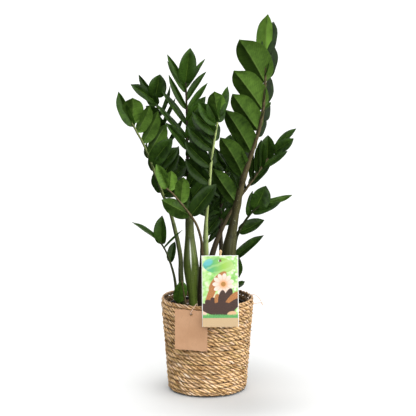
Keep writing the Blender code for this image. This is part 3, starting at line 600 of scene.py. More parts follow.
ROPE_TREE = twisted_plies("rope_plies", "Z_UP")
SEAGRASS_ROPE = seagrass()
ROPE_VALUES = {
    "Plies": ROPE_PLIES, "Lay": ROPE_LAY, "Ply Radius": PLY_RADIUS, "Reach Out": PLY_REACH_OUT,
    "Reach Up": PLY_REACH_UP, "Step": ROPE_STEP, "Sides": 6, "Unevenness": ROPE_UNEVENNESS,
    "Material": SEAGRASS_ROPE,
}


def loose_blades_tree():
    """Thin seagrass blades that have sprung from the rope: they lie along it and lift at one end."""
    tree = Tree(bpy.data.node_groups.new("loose_blades", "GeometryNodeTree"))
    given = tree.given({
        "Rope": "Geometry", "Density": "Float", "Length": "Float", "Width": "Float",
        "Lift": "Float", "Seed": "Int", "Material": "Material",
    })
    points = tree.add("GeometryNodeDistributePointsOnFaces", None,
                      {"Mesh": given["Rope"], "Density": given["Density"], "Seed": given["Seed"]})
    turn = tree.add("FunctionNodeAlignRotationToVector", {"axis": "X", "pivot_axis": "Z"},
                    {"Rotation": points.output("Rotation"),
                     "Vector": tree.stored("run", "FLOAT_VECTOR")})
    line = tree.add("GeometryNodeCurveQuadraticBezier", None, {
        "Resolution": 5, "Start": (-0.5, 0, -0.04), "Middle": (0.1, 0, 0.02),
        "End": tree.vector(0.5, 0.05, given["Lift"]),
    })
    share = tree.add("GeometryNodeSplineParameter", output="Factor")
    taper = (share * math.pi).sine() ** 0.6 * 0.5 + 0.04
    profile = tree.add("GeometryNodeCurvePrimitiveCircle", None, {"Resolution": 3, "Radius": 1.0})
    blade = tree.add("GeometryNodeCurveToMesh", None, {
        "Curve": line, "Profile Curve": profile, "Fill Caps": True,
        "Scale": taper * given["Width"] / given["Length"],
    })
    scale = tree.add("FunctionNodeRandomValue", None,
                     {2: 0.5, 3: 1.3, "Seed": given["Seed"]}, 1)
    blades = tree.add("GeometryNodeInstanceOnPoints", None, {
        "Points": points, "Instance": blade, "Rotation": turn,
        "Scale": tree.scaled((1.0, 1.0, 0.7), scale * given["Length"]),
    })
    tree.result(blades, given["Material"])
    return tree


wall_points, wall_girths = wall_route()
basket_wall = grown("basket_wall_rope", path_mesh("wall_route", [wall_points], wall_girths),
                    ROPE_TREE, ROPE_VALUES)
basket_floor = grown("basket_floor_rope", path_mesh("floor_route", [floor_route()]), ROPE_TREE,
                     {**ROPE_VALUES, "Step": 2 * ROPE_STEP, "Reach Up": FLOOR_REACH_UP})
loose_blades = grown("basket_loose_blades", basket_wall.data.copy(), loose_blades_tree(), {
    "Density": 1100.0, "Length": 15 * MM, "Width": 1.1 * MM, "Lift": 0.16, "Seed": 5,
    "Material": SEAGRASS_ROPE,
})
for piece in (basket_wall, basket_floor, loose_blades):
    piece.data.shade_smooth()
    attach(piece, "root")
    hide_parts("basket")


# ---------------------------------------------------------------- liner
# A loose bag of thin black film between the rope and the pot, open at the top. It keeps water off
# the seagrass; its cut edge is wavy and a little creased.

liner_low, liner_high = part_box("liner")
LINER_TOP = liner_high.z
LINER_BASE = liner_low.z
LINER_FILM = 0.4 * MM
LINER_HOLE = 20 * MM              # radius of the drain hole in its base
LINER_CREASE = 2.4 * MM
LINER_WAVE = 3 * MM               # how far its cut edge dips
LINER_SIDES = 160
LINER_ROWS = 14
LINER_BLACK = (0.012, 0.012, 0.013)


class Shape:
    """Points, faces and values for each point that become one mesh."""

    def __init__(self, kinds=None):
        self.points = []
        self.faces = []
        self.kinds = kinds or {}
        self.values = {name: [] for name in self.kinds}

    def ring(self, points, **values):
        """Adds points and gives their numbers; each value is one for all or a list."""
        start = len(self.points)
        self.points += points
        for name, value in values.items():
            self.values[name] += value if isinstance(value, list) else [value] * len(points)
        return list(range(start, len(self.points)))

    def bridge(self, below, above):
        """Faces between two closed rings of as many points."""
        for side, number in enumerate(below):
            after = (side + 1) % len(below)
            self.faces.append((number, below[after], above[after], above[side]))

    def skin(self, rings):
        """Faces over a row of rings, with a cap at each end."""
        for below, above in zip(rings, rings[1:]):
            self.bridge(below, above)
        self.faces += [rings[0][::-1], rings[-1]]

    def piece(self, name, finish, sharp=None):
        mesh = bpy.data.meshes.new(name)
        mesh.from_pydata(self.points, [], self.faces)
        for key, kind in self.kinds.items():
            data = mesh.attributes.new(key, kind, "POINT").data
            if kind == "FLOAT":
                data.foreach_set("value", self.values[key])
            else:
                flat = [part for value in self.values[key] for part in value]
                data.foreach_set("color" if kind == "FLOAT_COLOR" else "vector", flat)
        mesh.materials.append(finish)
        mesh.validate()
        mesh.shade_smooth()
        if sharp:
            mesh.set_sharp_from_angle(angle=math.radians(sharp))
        return add_to_scene(bpy.data.objects.new(name, mesh))


def circle(reach, height, sides):
    """A ring of points round the basket's axis; reach and height may be functions of the angle."""
    ring = []
    for side in range(sides):
        angle = math.tau * side / sides
        far = reach(angle) if callable(reach) else reach
        rise = height(angle) if callable(height) else height
        ring.append(Vector((far * math.cos(angle), far * math.sin(angle), rise)))
    return ring


def black_film():
    finish = Finish("black_film", {"Specular IOR Level": 0.15})
    creases = finish.noise(finish.place(), 60.0, 4.0, 0.6)
    fine = finish.noise(finish.place(), 900.0, 1.0)
    colour = finish.mix(creases.ease(0.5, 0.8), LINER_BLACK, (0.018, 0.015, 0.012))
    return finish.drive({
        "Base Color": colour,
        "Roughness": 0.55 + creases * 0.25,
        "Normal": finish.bump(creases + fine * 0.1, 2 * MM),
    })


def make_liner():
    """The bag as one skin, up its outside and down its inside."""
    rise = (LINER_TOP - LINER_BASE) / LINER_ROWS
    levels = [LINER_BASE + rise * row for row in range(LINER_ROWS)]

    def creased(height, inward):
        loose = (height - LINER_BASE) / (LINER_TOP - LINER_BASE)

        def reach(angle):
            fold = abs(noise.noise(compass(angle) * 5 + UP * height * 14)) * LINER_CREASE * loose
            return outer_radius(height) - ROPE_THICKNESS - 0.8 * MM - fold - inward

        return reach

    def edge(angle):
        return LINER_TOP - abs(noise.noise(compass(angle) * 3)) * LINER_WAVE

    steps = [(LINER_HOLE, LINER_BASE)]
    steps += [(creased(height, 0), height) for height in levels]
    steps += [(creased(LINER_TOP, 0), edge), (creased(LINER_TOP, LINER_FILM), edge)]
    for height in reversed(levels):
        steps.append((creased(height, LINER_FILM), max(height, LINER_BASE + LINER_FILM)))
    steps.append((LINER_HOLE, LINER_BASE + LINER_FILM))
    shape = Shape()
    shape.skin([shape.ring(circle(reach, height, LINER_SIDES)) for reach, height in steps])
    liner = shape.piece("liner_bag", black_film(), 60)
    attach(liner, "root")
    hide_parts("liner")


make_liner()


# ---------------------------------------------------------------- nursery pot
# A thin black polypropylene pot with a stepped rim and six drain holes, pressed down inside the
# liner. Its rolled lip shows as a ring between the soil and the rope.

pot_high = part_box("nursery_pot")[1]
POT_TOP = pot_high.z
POT_RADIUS = 79 * MM
POT_LIP = 1.9 * MM
LIP_WIDE = 0.75 * POT_LIP         # half sizes of the bead's section
LIP_HIGH = 0.7 * POT_LIP
LIP_SIDES = 128
LIP_ARC = 12
LIP_START = -60                   # degrees round the section
LIP_SWEEP = 300
RIDGE_PITCH = 6 * MM


def pot_plastic():
    finish = Finish("pot_plastic")
    height = finish.parts(finish.place())[2]
    grain = finish.noise(finish.place(), 1400.0, 2.0)
    dust = finish.noise(finish.place(), 45.0, 4.0, 0.65).ease(0.52, 0.75)
    ridges = (height * (math.tau / RIDGE_PITCH)).sine()
    colour = finish.mix(dust * 0.55, (0.010, 0.010, 0.011), (0.06, 0.045, 0.032))
    return finish.drive({
        "Base Color": colour,
        "Roughness": 0.42 + dust * 0.35,
        "Normal": finish.bump(grain * 0.3 + ridges * 0.4, 0.25 * MM),
    })


def make_pot_lip(finish):
    """A bead rolled over the rim, from just under its outer edge to its inner edge."""
    shape = Shape()
    rings = []
    for step in range(LIP_ARC + 1):
        angle = math.radians(LIP_START + LIP_SWEEP * step / LIP_ARC)
        reach = POT_RADIUS - POT_LIP * 0.55 + LIP_WIDE * math.cos(angle)
        height = POT_TOP - POT_LIP * 0.45 + LIP_HIGH * math.sin(angle)
        rings.append(shape.ring(circle(reach, height, LIP_SIDES)))
    for below, above in zip(rings, rings[1:] + rings[:1]):
        shape.bridge(below, above)
    lip = shape.piece("nursery_pot_lip", finish)
    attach(lip, "root")


POT_PLASTIC = pot_plastic()
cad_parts["nursery_pot"].data.materials[0] = POT_PLASTIC
make_pot_lip(POT_PLASTIC)


# ---------------------------------------------------------------- potting mix
# Dark peat-based mix, mounded a little round the stems, with shreds of bark and coir and a few
# grains of white perlite on top.

soil_low, soil_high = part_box("soil")
SOIL_RADIUS = 77 * MM
SOIL_TOP = soil_high.z
SOIL_EDGE = SOIL_TOP - 6 * MM
SOIL_BASE = soil_low.z
SOIL_FOOT_RADIUS = POT_RADIUS * 0.74
SOIL_TUCK = 1.2 * MM              # how far in its side starts, and how far below its edge
SOIL_SIDE_DROP = 9 * MM
SOIL_SETTLE = 1.2 * MM            # how far its surface lies below the mound it follows
MOUND_POWER = 2.5
CLOD_RISE = 1.7 * MM
CRUMB_RISE = 0.7 * MM
SOIL_RINGS = 46
SOIL_SIDES = 150
SOIL_DARK = (0.012, 0.007, 0.005)
SOIL_BROWN = (0.055, 0.030, 0.016)
SOIL_FIBRE = (0.13, 0.075, 0.035)
BARK_TONES = ((0.0, (0.035, 0.017, 0.009)), (0.5, (0.11, 0.055, 0.024)), (0.8, (0.20, 0.115, 0.05)),
              (1.0, (0.34, 0.22, 0.10)))
PERLITE_TONES = ((0.0, (0.34, 0.29, 0.25)), (1.0, (0.66, 0.62, 0.57)))


def soil_height(place):
    """The top of the mix: a low mound with clods of several sizes."""
    share = min(math.hypot(place.x, place.y) / SOIL_RADIUS, 1)
    mound = SOIL_EDGE + (SOIL_TOP - SOIL_EDGE) * (1 - share ** MOUND_POWER)
    clods = noise.fractal(place * 95, 0.9, 2.1, 5) * CLOD_RISE
    crumbs = noise.noise(place * 420) * CRUMB_RISE
    return mound + clods + crumbs - SOIL_SETTLE


def soil_finish():
    finish = Finish("potting_mix")
    lumps = finish.noise(finish.place(), 260.0, 5.0, 0.7)
    fine = finish.noise(finish.place(), 1500.0, 3.0, 0.7)
    colour = finish.mix(lumps.ease(0.42, 0.72), SOIL_DARK, SOIL_BROWN)
    colour = finish.mix(fine.ease(0.62, 0.72) * 0.5, colour, SOIL_FIBRE)
    return finish.drive({
        "Base Color": colour,
        "Roughness": 0.98 - fine * 0.15,
        "Normal": finish.bump(lumps + fine * 0.4, 1.2 * MM),
    })


def scattered_finish(name, tones, roughness):
    """Colour by each chip's own tone, with grain over it."""
    finish = Finish(name)
    tone = finish.attribute("tone")
    grain = finish.noise(finish.place(), 900.0, 3.0, 0.6)
    colour = finish.ramp(tone * 0.8 + grain * 0.3, tones)
    return finish.drive({
        "Base Color": colour,
        "Roughness": roughness + grain * 0.1,
        "Normal": finish.bump(grain, 0.5 * MM),
    })


def scatter_tree():
    """Crumbs of one kind strewn on upward faces, each turned, stretched and toned at random."""
    tree = Tree(bpy.data.node_groups.new("strewn_crumbs", "GeometryNodeTree"))
    given = tree.given({
        "Ground": "Geometry", "Density": "Float", "Size": "Float", "Length": "Float",
        "Flatness": "Float", "Seed": "Int", "Material": "Material",
    })
    facing = tree.add("GeometryNodeInputNormal")
    split = tree.add("ShaderNodeSeparateXYZ", None, {"Vector": facing})
    upward = tree.add("FunctionNodeCompare", None, {0: split.output("Z"), 1: 0.4})
    points = tree.add("GeometryNodeDistributePointsOnFaces", None, {
        "Mesh": given["Ground"], "Selection": upward, "Density": given["Density"],
        "Seed": given["Seed"],
    })
    tone = tree.add("FunctionNodeRandomValue", None, {2: 0.0, 3: 1.0, "Seed": given["Seed"]}, 1)
    points = tree.store(points, "tone", tone)
    crumb = tree.add("GeometryNodeMeshIcoSphere", None, {"Radius": 0.5, "Subdivisions": 2})
    position = tree.add("GeometryNodeInputPosition")
    dents = tree.add("ShaderNodeTexNoise", None,
                     {"Vector": position, "Scale": 2.3, "Detail": 1.0}, "Color")
    dents = tree.together(dents, (0.5, 0.5, 0.5), "SUBTRACT")
    crumb = tree.add("GeometryNodeSetPosition", None,
                     {"Geometry": crumb, "Offset": tree.scaled(dents, 0.9)})
    turn = tree.add("FunctionNodeRandomValue", {"data_type": "FLOAT_VECTOR"},
                    {0: (-0.5, -0.5, 0.0), 1: (0.5, 0.5, math.tau), "Seed": given["Seed"]})
    stretch = tree.add("FunctionNodeRandomValue", None, {2: 0.5, 3: 1.4, "Seed": 3}, 1)
    size = tree.add("FunctionNodeRandomValue", None, {2: 0.45, 3: 1.25, "Seed": 8}, 1)
    shape = tree.vector(stretch * given["Length"], 1.0, given["Flatness"])
    crumbs = tree.add("GeometryNodeInstanceOnPoints", None, {
        "Points": points, "Instance": crumb,
        "Rotation": tree.add("FunctionNodeEulerToRotation", None, {"Euler": turn}),
        "Scale": tree.scaled(shape, size * given["Size"]),
    })
    tree.result(crumbs, given["Material"])
    return tree


def make_soil():
    shape = Shape()
    rings = [shape.ring(circle(reach, height, SOIL_SIDES)) for reach, height in (
        (SOIL_FOOT_RADIUS, SOIL_BASE), (SOIL_RADIUS - SOIL_TUCK, SOIL_EDGE - SOIL_SIDE_DROP))]
    for step in range(SOIL_RINGS):
        reach = SOIL_RADIUS * (1 - step / SOIL_RINGS)
        ring = circle(reach, 0.0, SOIL_SIDES)
        rings.append(shape.ring([Vector((p.x, p.y, soil_height(p))) for p in ring]))
    shape.skin(rings)
    return shape.piece("potting_mix_bed", soil_finish(), 50)


soil_bed = make_soil()
SCATTER_TREE = scatter_tree()
bark = grown("potting_mix_bark", soil_bed.data.copy(), SCATTER_TREE, {
    "Density": 62000.0, "Size": 3.0 * MM, "Length": 1.9, "Flatness": 0.45, "Seed": 4,
    "Material": scattered_finish("bark_shreds", BARK_TONES, 0.8),
})
perlite = grown("potting_mix_perlite", soil_bed.data.copy(), SCATTER_TREE, {
    "Density": 3600.0, "Size": 2.6 * MM, "Length": 1.1, "Flatness": 0.85, "Seed": 12,
    "Material": scattered_finish("perlite_grains", PERLITE_TONES, 0.85),
})
for piece in (soil_bed, bark, perlite):
    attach(piece, "root")
    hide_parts("soil")


# ---------------------------------------------------------------- rhizomes
# Four potato-like rhizomes with fleshy roots, buried in the mix. Their skin is tan and slightly
# rough, with fine rings round it.

RHIZOME_RINGS = 2.4 * MM          # pitch of the rings


def rhizome_skin():
    finish = Finish("rhizome_skin")
    height = finish.parts(finish.place())[2]
    blotch = finish.noise(finish.place(), 90.0, 4.0, 0.6)
    rings = (height * (math.tau / RHIZOME_RINGS) + blotch * 4).sine()
    colour = finish.mix(blotch.ease(0.4, 0.7), (0.30, 0.19, 0.09), (0.52, 0.38, 0.21))
    colour = finish.mix(rings.ease(0.7, 1.0) * 0.4, colour, (0.16, 0.09, 0.045))
    return finish.drive({
        "Base Color": colour,
        "Roughness": 0.6 + blotch * 0.2,
        "Normal": finish.bump(rings * 0.4 + blotch, 0.6 * MM),
    })


RHIZOME_SKIN = rhizome_skin()
for node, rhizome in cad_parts.items():
    if node.startswith("rhizome"):
        rhizome.data.materials[0] = RHIZOME_SKIN


# ---------------------------------------------------------------- compound leaves
# Eleven compound leaves rise from the rhizomes. Each has one fleshy petiole that narrows into the
# rachis, and thick, glossy leaflets on short stalks, folded a little along the midrib. New leaves
# are bright green and the old ones dark.

# A stem's skin: colour at its foot and at its top
OLIVE = (0.023, 0.029, 0.010)
MOSS = (0.034, 0.042, 0.016)
SAGE = (0.110, 0.135, 0.048)
PALE = (0.255, 0.315, 0.125)
PALE_FOOT = (0.050, 0.068, 0.026)
BROWN = (0.070, 0.055, 0.028)
DARK_BROWN = (0.024, 0.018, 0.012)
GRASS = (0.100, 0.155, 0.026)

# Lengths are in millimetres, angles in degrees; a face is the way a leaflet's upper side looks.
#   Leaf    path: points of its stem from the rhizome up; girth: (height, radius) along it;
#           skin: colours of its stem; youth: how young its lowest and highest leaflets look;
#           gloss: how the swollen part of its petiole shines, by its coat and by a painted highlight
#   Row     leaflets on one side: heights of the first and last, how many, bearing seen from above,
#           angle from the rachis, length and width, each from the first to the last
#   Single  one leaflet: height on the stem, direction, length, width, its own youth if it has one
#   Top     the leaflet that ends the rachis: direction, length, width, its own youth likewise
Leaf = namedtuple("Leaf", "path girth top skin youth gloss rows single", defaults=(0.15, (), ()))
Row = namedtuple("Row", "heights count bearing spread length width face")
Single = namedtuple("Single", "height towards length width face youth", defaults=(None,))
Top = namedtuple("Top", "towards length width face youth", defaults=(None,))

LEAVES = {
    "leaf_tall_right": Leaf(
        path=[(38, 6, 124), (41, 2, 187), (43, 0, 280), (60, 0, 379), (69, -2, 419), (81, -4, 458),
              (94, -6, 498), (106, -8, 547), (111, -10, 605), (111, -12, 664)],
        girth=[(124, 12), (187, 14), (285, 13.5), (320, 9.5), (360, 7.2), (410, 5.8), (500, 3.6),
               (600, 2.6), (662, 2.2)],
        single=[
            # Painted shade: most right-row leaflets, turned from the light, get their own low youth
            Single(371, (-0.51, -0.09, 0.85), 89, 36, (0.34, 1, 0.05)),
            Single(397, (-0.38, 0.21, 0.9), 87, 30, (0.8, -0.4, 0.3), -0.2),
            Single(425, (-0.43, -0.26, 0.87), 102, 43, (0.34, 1, 0.05)),
            Single(446, (-0.34, 0.21, 0.92), 86, 34, (0.8, -0.4, 0.3), -0.2),
            Single(473, (-0.47, -0.24, 0.85), 108, 46, (0.34, 1, 0.05)),
            Single(505, (0.27, 0.45, 0.85), 58, 26, (1, -0.35, 0.3), -0.2),
            Single(517, (-0.52, -0.27, 0.81), 97, 47, (0.34, 1, 0.05)),
            Single(536, (0.28, 0.51, 0.82), 55, 28, (1, -0.35, 0.3), -0.2),
            Single(558, (-0.54, -0.25, 0.8), 103, 53, (0.34, 1, 0.05)),
            Single(558, (0.72, 0.35, 0.6), 23, 9, (0.2, -0.9, 0.3)),
            Single(570, (0.23, 0.44, 0.87), 64, 30, (1, -0.35, 0.3), -0.2),
            Single(611, (-0.47, -0.25, 0.84), 104, 61, (0.34, 1, 0.05)),
            Single(620, (0.3, 0.36, 0.88), 72, 32, (1, -0.4, 0.3), -0.2),
            Single(664, (0.27, 0.41, 0.87), 73, 30, (0.35, -1, 0.1), -0.3),
        ],
        top=Top((0.02, -0.02, 1), 81, 33, (-0.35, 1, 0), 1),
        skin=(OLIVE, BROWN), youth=(0.1, 0.5),
    ),
    "leaf_center_pale": Leaf(
        path=[(2, -36, 124), (-1, -46, 190), (-3, -52, 281), (-3, -54, 339), (4, -58, 421), (7, -61, 462),
              (13, -63, 503), (21, -66, 551)],
        girth=[(124, 6.5), (200, 6.5), (290, 5.4), (380, 2.9), (538, 1.8)],
        single=[
            Single(421, (-0.71, 0.15, 0.69), 67, 26, (-0.5, -1, 0.6)),
            Single(444, (-0.49, 0.32, 0.81), 81, 24, (0.3, -1, 0.2)),
            Single(454, (-0.72, 0.14, 0.68), 70, 26, (-0.5, -1, 0.6)),
            Single(460, (0.29, 0.64, 0.71), 40, 20, (1, -0.3, 0.2)),
            Single(486, (-0.73, 0.15, 0.67), 68, 26, (-0.5, -1, 0.6)),
            Single(499, (-0.57, 0.38, 0.73), 74, 24, (0.3, -1, 0.2)),
            Single(505, (0.25, 0.61, 0.75), 43, 18, (1, -0.3, 0.2)),
            Single(517, (-0.72, 0.16, 0.67), 63, 26, (-0.5, -1, 0.6)),
            Single(536, (-0.66, 0.07, 0.75), 55, 26, (-0.5, -1, 0.5)),
            Single(539, (-0.47, -0.22, 0.86), 45, 20, (-0.7, -1, 0.3)),
            Single(541, (0.39, 0.51, 0.76), 39, 18, (1, -0.4, 0.2)),
            Single(551, (0.33, 0.13, 0.93), 60, 20, (0.4, -0.9, 0)),
        ],
        top=Top((-0.13, -0.11, 0.99), 53, 35, (0.1, 1, 0)),
        skin=(PALE_FOOT, PALE), youth=(-0.3, 0.4),
    ),
    "leaf_far_left": Leaf(
        path=[(-48, -14, 124), (-50, -24, 186), (-52, -30, 234), (-54, -31, 281), (-71, -34, 357),
              (-88, -36, 400), (-104, -38, 445), (-121, -40, 490), (-136, -42, 519), (-145, -43, 536)],
        girth=[(124, 6), (200, 5.5), (290, 4.4), (400, 2.8), (536, 1.8)],
        single=[
            Single(396, (0.89, -0.07, 0.45), 57, 28, (0.2, -1, 0.5)),
            Single(400, (-0.4, 0.34, 0.85), 47, 24, (-1, -0.3, 0.2)),
            Single(404, (0.71, 0.17, 0.68), 70, 30, (0.2, -1, 0.4)),
            Single(413, (0.45, 0.05, 0.89), 85, 30, (0.3, -1, 0.4)),
            Single(443, (-0.32, 0.42, 0.85), 38, 18, (-1, -0.3, 0.2)),
            Single(445, (0.74, 0, 0.67), 65, 28, (0.2, -1, 0.4)),
            Single(454, (0.6, -0.12, 0.79), 65, 32, (0.2, -1, 0.4)),
            Single(468, (-0.26, 0.45, 0.85), 35, 18, (-1, -0.3, 0.2)),
            Single(473, (0.52, -0.03, 0.85), 71, 30, (0.35, 1, -0.2)),
            Single(497, (0.47, -0.06, 0.88), 71, 27, (0.35, 1, -0.2)),
            Single(518, (0.48, -0.07, 0.88), 59, 26, (0.35, 1, -0.2)),
            Single(529, (-0.44, 0.14, 0.89), 74, 24, (-0.3, -1, 0.1)),
        ],
        top=Top((0.03, -0.11, 0.99), 53, 41, (0, 1, -0.1)),
        skin=(MOSS, SAGE), youth=(-0.1, 0.45),
    ),
    "leaf_back_center": Leaf(
        path=[(-22, -36, 124), (-28, -40, 187), (-32, -42, 246), (-34, -36, 303), (-36, -14, 360),
              (-38, 6, 419), (-40, 24, 490), (-41, 34, 560), (-43, 36, 606)],
        girth=[(124, 7), (187, 8.2), (258, 14.4), (328, 8.5), (400, 3), (606, 1.7)],
        single=[
            Single(374, (-0.45, -0.16, 0.88), 63, 28, (-0.2, -1, 0.2)),
            Single(380, (0.63, -0.15, 0.76), 54, 30, (0.1, -1, 0.3)),
            Single(406, (0.52, -0.13, 0.84), 63, 30, (0.2, -1, 0.2)),
            Single(426, (-0.55, -0.1, 0.83), 63, 26, (0.2, -1, 0.3)),
            Single(432, (0.48, -0.09, 0.87), 65, 28, (0.2, -1, 0.2)),
            Single(461, (0.5, -0.07, 0.86), 61, 24, (0.2, -1, 0.2)),
            Single(476, (-0.6, -0.09, 0.8), 69, 16, (0.3, -1, 0.2)),
            Single(494, (0.44, 0, 0.9), 71, 24, (0.2, -1, 0.2)),
            Single(497, (-0.61, 0.04, 0.79), 92, 13, (0.6, -0.8, 0.2)),
            Single(523, (-0.55, 0.05, 0.84), 84, 14, (0.6, -0.8, 0.2)),
            Single(527, (0.59, 0.06, 0.81), 64, 22, (0.2, -1, 0.2)),
            Single(548, (0.55, 0.09, 0.83), 71, 13, (-0.5, -1, 0.2)),
            Single(554, (-0.48, 0.05, 0.88), 76, 13, (-0.3, -1, 0.2)),
            Single(571, (0.54, 0.09, 0.84), 69, 14, (-0.5, -1, 0.2)),
            Single(587, (-0.54, 0.06, 0.84), 71, 14, (-0.3, -1, 0.2)),
            Single(595, (0.49, 0.09, 0.87), 69, 13, (-0.6, -0.9, 0.2)),
            Single(602, (-0.54, 0.03, 0.84), 69, 14, (-0.3, -1, 0.2)),
        ],
        top=Top((0.13, -0.09, 0.99), 70, 34, (0, -1, 0.15)),
        skin=(GRASS, DARK_BROWN), youth=(0.1, 0.3), gloss=1,
    ),
    "leaf_back_left": Leaf(
        path=[(-10, 32, 124), (-18, 40, 187), (-30, 50, 280), (-47, 60, 380), (-70, 70, 460),
              (-94, 78, 530), (-104, 82, 574)],
        girth=[(124, 8), (187, 9), (260, 7), (400, 3), (574, 1.8)],
        single=[
            Single(483, (0.54, 0, 0.84), 57, 10, (0.5, -0.8, 0.2)),
            Single(501, (-0.56, -0.08, 0.82), 53, 22, (-0.3, -1, 0.3)),
            Single(518, (0.48, 0, 0.88), 59, 10, (0.6, -0.8, 0.2)),
            Single(535, (-0.77, -0.12, 0.63), 34, 20, (-0.2, -1, 0.5)),
            Single(535, (0.4, 0, 0.92), 63, 10, (0.6, -0.8, 0.2)),
            Single(556, (-0.54, 0, 0.84), 33, 24, (-0.3, -1, 0.3)),
            Single(562, (-0.78, -0.1, 0.62), 62, 24, (0.1, -1, 0.5)),
            Single(566, (-0.56, 0.22, 0.8), 64, 14, (-0.2, -1, 0.2)),
        ],
        top=Top((0.21, -0.17, 0.96), 47, 36, (0.1, -1, 0.05)),
        skin=(MOSS, MOSS), youth=(0.0, 0.15),
    ),
    "leaf_right_middle": Leaf(
        path=[(4, 26, 124), (6, 30, 187), (6, 36, 243), (15, 42, 280), (31, 50, 318), (50, 58, 352),
              (72, 66, 384), (93, 72, 412), (114, 78, 442), (137, 82, 470)],
        girth=[(124, 7), (187, 8), (250, 6), (380, 2.6), (470, 1.7)],
        single=[
            Single(390, (-0.24, -0.06, 0.97), 66, 16, (-0.6, -0.8, 0.1)),
            Single(398, (0.74, 0.18, 0.65), 57, 18, (0.4, -0.8, 0.6)),
            Single(408, (-0.05, -0.07, 1), 61, 16, (-0.7, -0.8, 0.1)),
            Single(421, (-0.01, -0.07, 1), 60, 16, (-0.7, -0.8, 0.1)),
            Single(432, (-0.04, -0.07, 1), 56, 22, (-0.4, -1, 0.1)),
            Single(432, (0.83, 0.16, 0.53), 64, 17, (0.4, -0.8, 0.6)),
            Single(449, (-0, -0.08, 1), 48, 30, (-0.2, -1, 0.1)),
            Single(462, (0.8, -0.12, 0.59), 50, 24, (0.2, -0.9, 0.5)),
        ],
        top=Top((0.69, 0.1, 0.72), 59, 16, (-0.2, -1, 0.3)),
        skin=(DARK_BROWN, BROWN), youth=(0.05, 0.2),
    ),
    "leaf_right_low": Leaf(
        path=[(45, 24, 122), (51, 32, 187), (53, 31, 255), (58, 28, 300), (72, 22, 330), (88, 18, 352),
              (104, 14, 366), (119, 12, 376)],
        girth=[(122, 4), (187, 4), (300, 2.8), (376, 1.6)],
        single=[
            Single(197, (0.82, 0.47, 0.34), 30, 12, (0.2, -1, 0.3)),
            Single(255, (0.74, -0.05, 0.67), 75, 20, (-0.3, -1, 0.5)),
            Single(263, (0.26, -0.08, -0.96), 47, 16, (0.5, -0.8, 0)),
            Single(310, (0.87, -0.07, 0.49), 56, 27, (-0.1, -1, 0.6)),
            Single(343, (0.09, 0, 1), 51, 15, (-0.6, -0.8, 0)),
            Single(352, (0.91, -0.17, 0.39), 59, 26, (0.1, -1, 0.5)),
            Single(358, (0.41, -0.08, 0.91), 51, 38, (0.1, -1, 0.15)),
        ],
        top=Top((0.97, 0.16, 0.2), 51, 12, (-0.1, 1, -0.4)),
        skin=(MOSS, OLIVE), youth=(0.0, 0.2),
    ),
    "leaf_back_middle": Leaf(
        path=[(27, 24, 120), (30, 34, 187), (28, 56, 260), (26, 66, 320), (32, 76, 390), (40, 82, 440)],
        girth=[(120, 6), (187, 6), (320, 4), (440, 1.8)],
        rows=[
            Row((326, 425), 4, 178, (46, 42), (76, 60), (32, 28), (-0.2, -1, 0.3)),
            Row((320, 418), 4, 20, (42, 38), (56, 50), (30, 26), (0.5, -1, 0.3)),
        ],
        single=[
            Single(323, (-0.47, -0.29, -0.83), 48, 14, (0.4, -1, 0.2)),
            Single(337, (-0.6, -0.34, -0.72), 59, 20, (0.2, -1, 0.2)),
            Single(356, (-0.92, -0.21, -0.31), 47, 26, (0.2, -1, 0.4)),
            Single(374, (-0.41, -0.15, -0.9), 66, 28, (0.4, -1, 0.5)),
            Single(377, (-0.66, 0.21, 0.72), 28, 24, (0, -1, 0.4)),
        ],
        top=Top((0.1, 0, 1), 60, 34, (0, -1, 0.2)),
        skin=(MOSS, DARK_BROWN), youth=(0.0, 0.1),
    ),
    "leaf_front_brown": Leaf(
        path=[(-9, -54, 120), (-14, -53, 188), (-11, -66, 269), (-11, -74, 290), (-12, -84, 315),
              (-20, -90, 344), (-32, -95, 365), (-50, -99, 389), (-65, -102, 407), (-78, -104, 419)],
        girth=[(120, 5), (187, 5), (260, 4.4), (320, 2.6), (408, 1.8)],
        single=[
            Single(365, (0.61, 0.05, 0.79), 77, 32, (-0.1, -1, 0.35), -0.2),
            Single(366, (-0.88, -0.06, 0.47), 63, 32, (0.15, 1, -0.5)),
            Single(368, (-0.11, 0.21, 0.97), 38, 9, (-0.6, -0.8, 0)),
            Single(389, (0.1, -0.11, 0.99), 54, 29, (0.05, 1, 0)),
            Single(414, (0.11, 0.16, 0.98), 38, 27, (0, 1, 0.1)),
        ],
        top=Top((-0.42, 0.08, 0.9), 51, 22, (-0.3, -1, 0.4)),
        skin=(DARK_BROWN, BROWN), youth=(0.3, 0.75),
    ),
    "leaf_left_sprout": Leaf(
        path=[(-54, -30, 122), (-60, -42, 192), (-64, -46, 232), (-72, -50, 264), (-82, -52, 290),
              (-93, -54, 308)],
        girth=[(122, 3.4), (192, 3), (308, 1.5)],
        single=[
            Single(265, (0.18, 0.1, 0.98), 41, 17, (-0.3, -1, 0)),
            Single(294, (0.64, -0.08, 0.76), 50, 7, (-0.5, -0.5, 0.7)),
            Single(301, (-0.02, -0.11, 0.99), 56, 26, (-0.25, -1, 0.05)),
        ],
        top=Top((-0.74, -0.03, 0.67), 65, 14, (0.5, -0.5, 0.8)),
        skin=(MOSS, OLIVE), youth=(0.0, 0.15),
    ),
    "leaf_front_small": Leaf(
        path=[(-26, -48, 112), (-37, -52, 150), (-43, -54, 187), (-46, -56, 208), (-50, -56, 230)],
        girth=[(112, 2.2), (190, 1.8), (230, 1.4)],
        top=Top((-0.14, 0.16, -1), 48, 26, (0.2, -1, 0)),
        skin=(DARK_BROWN, BROWN), youth=(0.55, 0.55),
    ),
}

LEAF_SEED = 11
